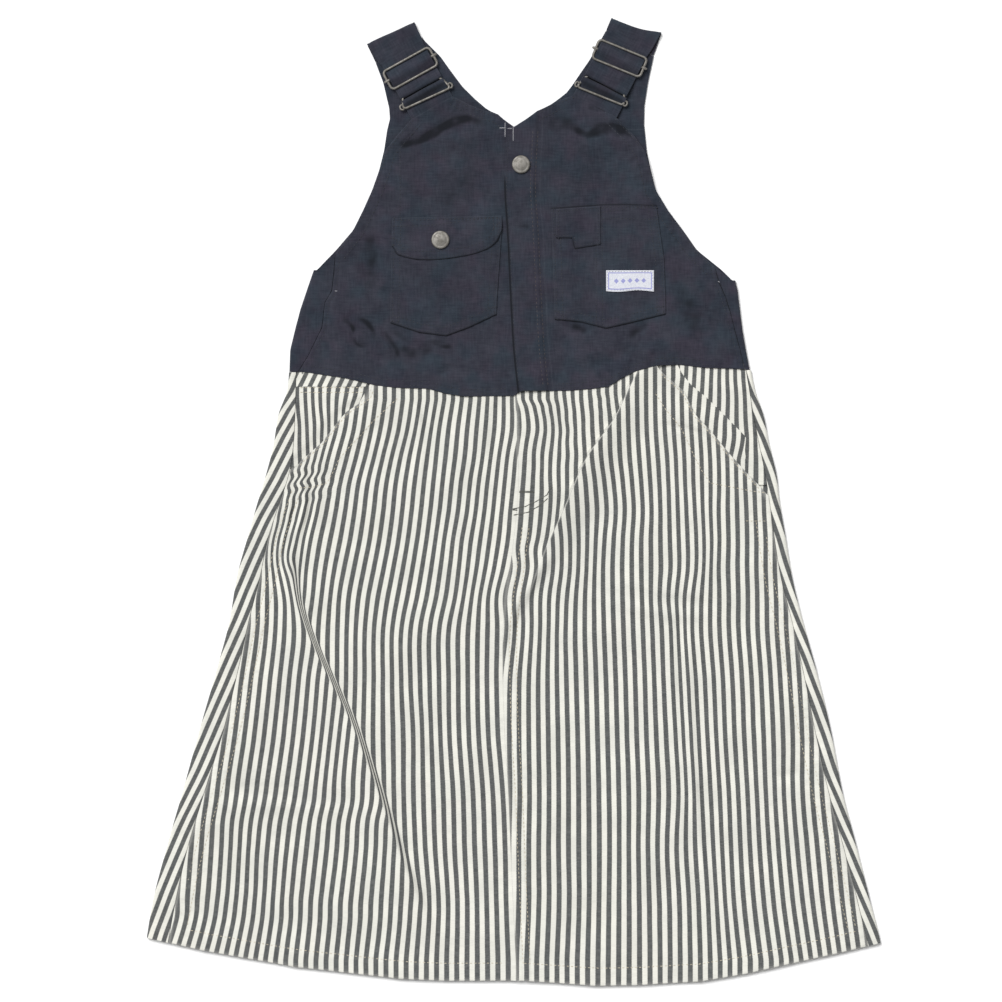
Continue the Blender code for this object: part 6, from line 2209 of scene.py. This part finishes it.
def stitch_mesh(rows, height, pitch=STITCH_PITCH, length=STITCH_LENGTH, radius=THREAD):
    """Stitches along rows of points: each is a bead of thread, round in section and thickest in its
    middle, whose two ends dip into the cloth. height(x, y) is the cloth's outer face there."""
    turn = np.arange(STITCH_SIDES) * 2 * pi / STITCH_SIDES
    t = np.linspace(-1, 1, STITCH_RINGS)[:, None]
    thick = np.sqrt(np.maximum(1 - (t * 0.93) ** 2, 0.02))
    bead = np.broadcast_arrays(t, thick * np.cos(turn), thick * np.sin(turn))
    shape = np.stack(bead, axis=-1).reshape(-1, 3)
    k = np.arange(STITCH_SIDES)
    m = (k + 1) % STITCH_SIDES
    last = (STITCH_RINGS - 1) * STITCH_SIDES
    start = np.arange(0, last, STITCH_SIDES)[:, None]
    after = start + STITCH_SIDES
    quads = np.stack([start + k, start + m, after + m, after + k], axis=-1).reshape(-1, 4)
    template = quads.tolist() + [k[::-1].tolist(), (k + last).tolist()]
    centres, headings = [], []
    for row in rows:
        row = np.asarray(row, float)
        steps = np.hypot(*np.diff(row, axis=0).T)
        run = np.concatenate([[0], np.cumsum(steps)])
        at = np.arange(pitch / 2, run[-1], pitch)
        centre = np.stack([np.interp(at, run, row[:, 0]), np.interp(at, run, row[:, 1])], axis=1)
        index = np.clip(np.searchsorted(run, at) - 1, 0, len(steps) - 1)
        heading = np.diff(row, axis=0)[index] / steps[index, None]
        aside = np.stack([-heading[:, 1], heading[:, 0]], axis=1)
        turned = heading + STITCH_LEAN * np.sin(at * 9000.0)[:, None] * aside
        centres.append(centre)
        headings.append(turned / np.linalg.norm(turned, axis=1, keepdims=True))
    centre, heading = np.concatenate(centres), np.concatenate(headings)
    side = np.stack([-heading[:, 1], heading[:, 0]], axis=1)
    flat = (
        centre[:, None]
        + shape[None, :, :1] * heading[:, None] * length / 2
        + shape[None, :, 1:2] * side[:, None] * radius
    )
    level = height(flat[..., 0], flat[..., 1])
    up = level + radius * (shape[:, 2] * 0.8 + STITCH_RISE) - STITCH_DIP * shape[:, 0] ** 4
    points = np.concatenate([flat, up[..., None]], axis=-1).reshape(-1, 3)
    offsets = (np.arange(len(centre)) * len(shape))[:, None]
    faces = [(np.array(face)[None, :] + offsets).tolist() for face in template]
    return points, [face for group in faces for face in group]


def sew(name, rows, height, surface, slot, **size):
    """One piece of all the stitches of some rows."""
    points, faces = stitch_mesh(rows, height, **size)
    piece(name, points, faces, surface, slot, [])


def inset(points, by):
    """A run of points moved sideways, to the left of the way it runs."""
    ahead = np.gradient(np.asarray(points, float), axis=0)
    ahead /= np.linalg.norm(ahead, axis=1, keepdims=True)
    return points + by * np.stack([-ahead[:, 1], ahead[:, 0]], axis=1)


def between(points, top, foot):
    """The points of a run whose height lies between two heights."""
    return points[(points[:, 1] <= top) & (points[:, 1] >= foot)]


def skirt_sewing(surface, dark_surface):
    """Cream topstitching: two rows beside each side seam and the centre seam, one along the hem and
    those of the pockets. The fly's curved rows and its bar tacks are pulled in, and their thread is
    grey as painted shade of their grooves."""
    hem_row = HEM_LINE + (0, HEM_DEPTH)
    for side, seam, mouth, bag, inward in (
        ("right", RIGHT_SEAM_LINE, RIGHT_MOUTH, RIGHT_POCKET_BAG, 1),
        ("left", LEFT_SEAM_LINE, LEFT_MOUTH, LEFT_POCKET_BAG, -1),
    ):
        seam_top, mouth_foot = ROW_ENDS[side]
        hem_at = np.interp(seam[-1, 0], HEM_LINE[:, 0], HEM_LINE[:, 1])
        foot = hem_at + ROW_OVER_HEM
        rows = [between(inset(seam, inward * off), seam_top, foot) for off in SEAM_ROWS]
        centre_x = skirt["centre"](hem_row[:, 1])
        half = hem_row[(hem_row[:, 0] - centre_x) * inward < -HEM_ROW_CLEAR[0]]
        seam_x = skirt[f"{side}_seam"](half[:, 1])
        rows.append(half[(half[:, 0] - seam_x) * inward > HEM_ROW_CLEAR[1]])
        rows.append(row_of(bag))
        mouth_row = inset(mouth, inward * MOUTH_ROWS[0])
        rows.append(between(mouth_row, waist(mouth_row[0, 0]) - 0.002, mouth_foot))
        if side == "left":
            rows += [between(inset(CENTRE_LINE, off), *CENTRE_ROW_ENDS) for off in CENTRE_ROWS]
            rows.append(LEFT_MOUTH_TACK)
        sew(
            f"skirt_{side}_stitches", rows, lambda x, y, side=side: skirt_top(x, y, side), surface,
            "hickory_stripe",
        )

    def fly_top(x, y):
        return skirt_top(x, y, "left")

    sew("fly_bar_tacks", FLY_TACKS, fly_top, dark_surface, "hickory_stripe", **FLY_TACK)
    curved = [row_of(FLY_UPPER), row_of(FLY_LOWER)]
    sew("fly_stitches", curved, fly_top, dark_surface, "hickory_stripe", **FLY_STITCHES)


def yoke_sewing(surface, facing_top):
    """Two rows below the yoke's seam across the right hip facing."""
    rows = [line_of(level_at(at), *YOKE_RUN, 30, along="x") for at in YOKE_ROWS]
    sew("yoke_stitches", rows, facing_top, surface, "hickory_stripe")


def bib_sewing(navy, brown, white):
    """Topstitching of the bib in navy, two brownish rows down the placket, and white bar tacks."""

    def face(side):
        return lambda x, y: bib_top(x, y) + bib_relief(x, y, side)[0]

    for side, inward in (("right", 1), ("left", -1)):
        armhole, neck, seam = bib_edges(side)
        rows = [inset(armhole, -inward * ARMHOLE_HEM), inset(armhole, -inward * EDGE_ROW)]
        rows += [inset(neck, -DOUBLE_ROW)[:-1], inset(neck, -EDGE_ROW)]
        rows.append(inset(seam, -inward * FLANK_ROW))
        x = np.linspace(*WAIST_RUNS[side], 60)
        rows += [np.stack([x, waist(x) + off], axis=1) for off in WAIST_ROWS]
        if side == "right":
            row_x, *ends = RIGHT_HALF_ROW
            rows.append(line_of(lambda y, row_x=row_x: row_x + 0 * y, *ends, 30))
        sew(f"bib_{side}_stitches", rows, face(side), navy, "denim", **BESIDE_EDGE)
        sew(f"bib_{side}_bar_tacks", BIB_TACKS[side], face(side), white, "denim", **BIB_TACK)
    y = np.linspace(*PLACKET_RUN, 60)
    edge = placket_edge(y)
    keep = y < straight(PLACKET_CROWN, "y", "x")(edge + PLACKET_WIDTH / 2) - 0.004
    brown_rows = [np.stack([edge + PLACKET_WIDTH - off, y], axis=1)[keep] for off in PLACKET_ROWS]
    sew("placket_stitches", brown_rows, placket_top, brown, "denim")
    edge_row = np.stack([edge + EDGE_ROW, y], axis=1)
    sew("placket_edge_stitches", [edge_row], placket_top, navy, "denim", **BESIDE_EDGE)
    sew("placket_bar_tacks", PLACKET_TACKS, placket_top, white, "denim", **PLACKET_TACK)


def pocket_sewing(navy, white):
    """Edge rows of the chest pockets, the flap, the pen slot's band and the label."""

    def round_foot(made, by):
        heights = made.outline[:, 1]
        return inset(made.outline, -by)[heights < heights.max() - 0.001]

    for name, made, rows in (
        ("chest_pocket_right", chest_right, [EDGE_ROW, DOUBLE_ROW]),
        ("pocket_flap", flap, [EDGE_ROW, DOUBLE_ROW]),
        ("chest_pocket_left", chest_left, [EDGE_ROW, DOUBLE_ROW]),
        ("pen_band", pen_band, [EDGE_ROW]),
    ):
        runs = [round_foot(made, by) for by in rows]
        if name == "chest_pocket_left":
            x = made.outline[:, 0]
            across = np.linspace(x.min() + 0.003, x.max() - 0.006, 30)
            runs += [np.stack([across, left_chest_top(across) - off], axis=1) for off in POCKET_TOP_ROWS]
            for at in DIVIDER:
                runs.append(((at, DIVIDER_RUN[0]), (at + DIVIDER_LEAN, DIVIDER_RUN[1])))
        if name == "pocket_flap":
            under_top = shifted(straight(FLAP_TOP, "y", "x"), -FLAP_TOP_ROW)
            runs.append(line_of(under_top, *FLAP_ROW_RUN, 30, along="x"))
        sew(f"{name}_stitches", runs, made.top, navy, "denim", **BESIDE_EDGE)
    half = np.array(LABEL_SIZE) / 2 - 0.0008
    round_label = np.array([(-1, -1), (1, -1), (1, 1), (-1, 1), (-1, -1)]) * half + LABEL_CENTRE

    def label_top(at_x, at_y):
        under = bib_relief(at_x, at_y, "left")[0]
        return front_top(at_x, at_y) + on_pocket(at_y) + THIN + under + LABEL_LIFT

    sew("label_stitches", [round_label], label_top, white, "woven_label", **LABEL_STITCHES)


# ---- The dress ----

hickory_cloth, denim_cloth = hickory(), denim()
metal = pewter()
cream = thread("cream topstitching", (0.66, 0.60, 0.47, 1), (0.48, 0.42, 0.31, 1))
brown = thread("brown topstitching", (0.080, 0.064, 0.066, 1), (0.046, 0.040, 0.044, 1))
navy = thread("navy topstitching", (0.036, 0.038, 0.048, 1), (0.018, 0.020, 0.028, 1))
# Grey thread for the fly's rows and tacks: painted shade of their pulled-in grooves.
shadowed = thread("shadowed topstitching", (0.150, 0.150, 0.135, 1), (0.070, 0.072, 0.066, 1))
white = thread("white bar tack thread", (0.40, 0.40, 0.42, 1), (0.26, 0.26, 0.29, 1))

skirt_back(hickory_cloth)
right_facing_top = hip_facings(hickory_cloth)
skirt_fronts(hickory_cloth)
bib_back(denim_cloth)
bib_fronts(denim_cloth)
chest_pockets(denim_cloth)
sewn_label(woven_label())
straps(denim_cloth)
tabs(denim_cloth)
buckles(metal)
snap("neck_snap", NECK_SNAP, FRONT_TOP + LAP_RISE + GAP, metal)
snap("flap_snap", FLAP_SNAP, FRONT_TOP + 2 * POCKET_RISE + GAP, metal)
skirt_sewing(cream, shadowed)
yoke_sewing(cream, right_facing_top)
bib_sewing(navy, brown, white)
pocket_sewing(navy, white)

# ---- Floor, light and camera ----

FLOOR_REACH, FLOOR_LEVEL = 20.0, -0.0003
LIGHT_ALL_ROUND, WINDOW_LIGHT, WINDOW_WIDTH = 0.45, 3.3, 30
WINDOW_LEAN = (-24, -20, 0)
CAMERA_HEIGHT, VIEW_WIDTH, VIEW_CENTRE = 4.0, 0.6814, (-0.0084, 0.0010)
SENSOR = 36.0

floor_mesh = bpy.data.meshes.new("floor")
corners = [(x * FLOOR_REACH, y * FLOOR_REACH, FLOOR_LEVEL) for x, y in ((-1, -1), (1, -1), (1, 1), (-1, 1))]
floor_mesh.from_pydata(corners, [], [(0, 1, 2, 3)])
floor_mesh.materials.append(paper())
floor = bpy.data.objects.new("floor", floor_mesh)
bpy.context.scene.collection.objects.link(floor)

world = bpy.data.worlds.new("studio")
bpy.context.scene.world = world
world.use_nodes = True
world.node_tree.nodes["Background"].inputs["Color"].default_value = (1, 1, 1, 1)
world.node_tree.nodes["Background"].inputs["Strength"].default_value = LIGHT_ALL_ROUND

sun = bpy.data.lights.new("window light", "SUN")
sun.energy = WINDOW_LIGHT
sun.angle = radians(WINDOW_WIDTH)
lamp = bpy.data.objects.new("window light", sun)
lamp.rotation_euler = [radians(turn) for turn in WINDOW_LEAN]
bpy.context.scene.collection.objects.link(lamp)

lens = bpy.data.cameras.new("camera")
lens.sensor_width = SENSOR
lens.lens = SENSOR * (CAMERA_HEIGHT - FRONT_TOP) / VIEW_WIDTH
lens.clip_end = 100.0
camera = bpy.data.objects.new("camera", lens)
camera.location = (*VIEW_CENTRE, CAMERA_HEIGHT)
bpy.context.scene.collection.objects.link(camera)
bpy.context.scene.camera = camera
bpy.context.scene.view_settings.view_transform = "Standard"
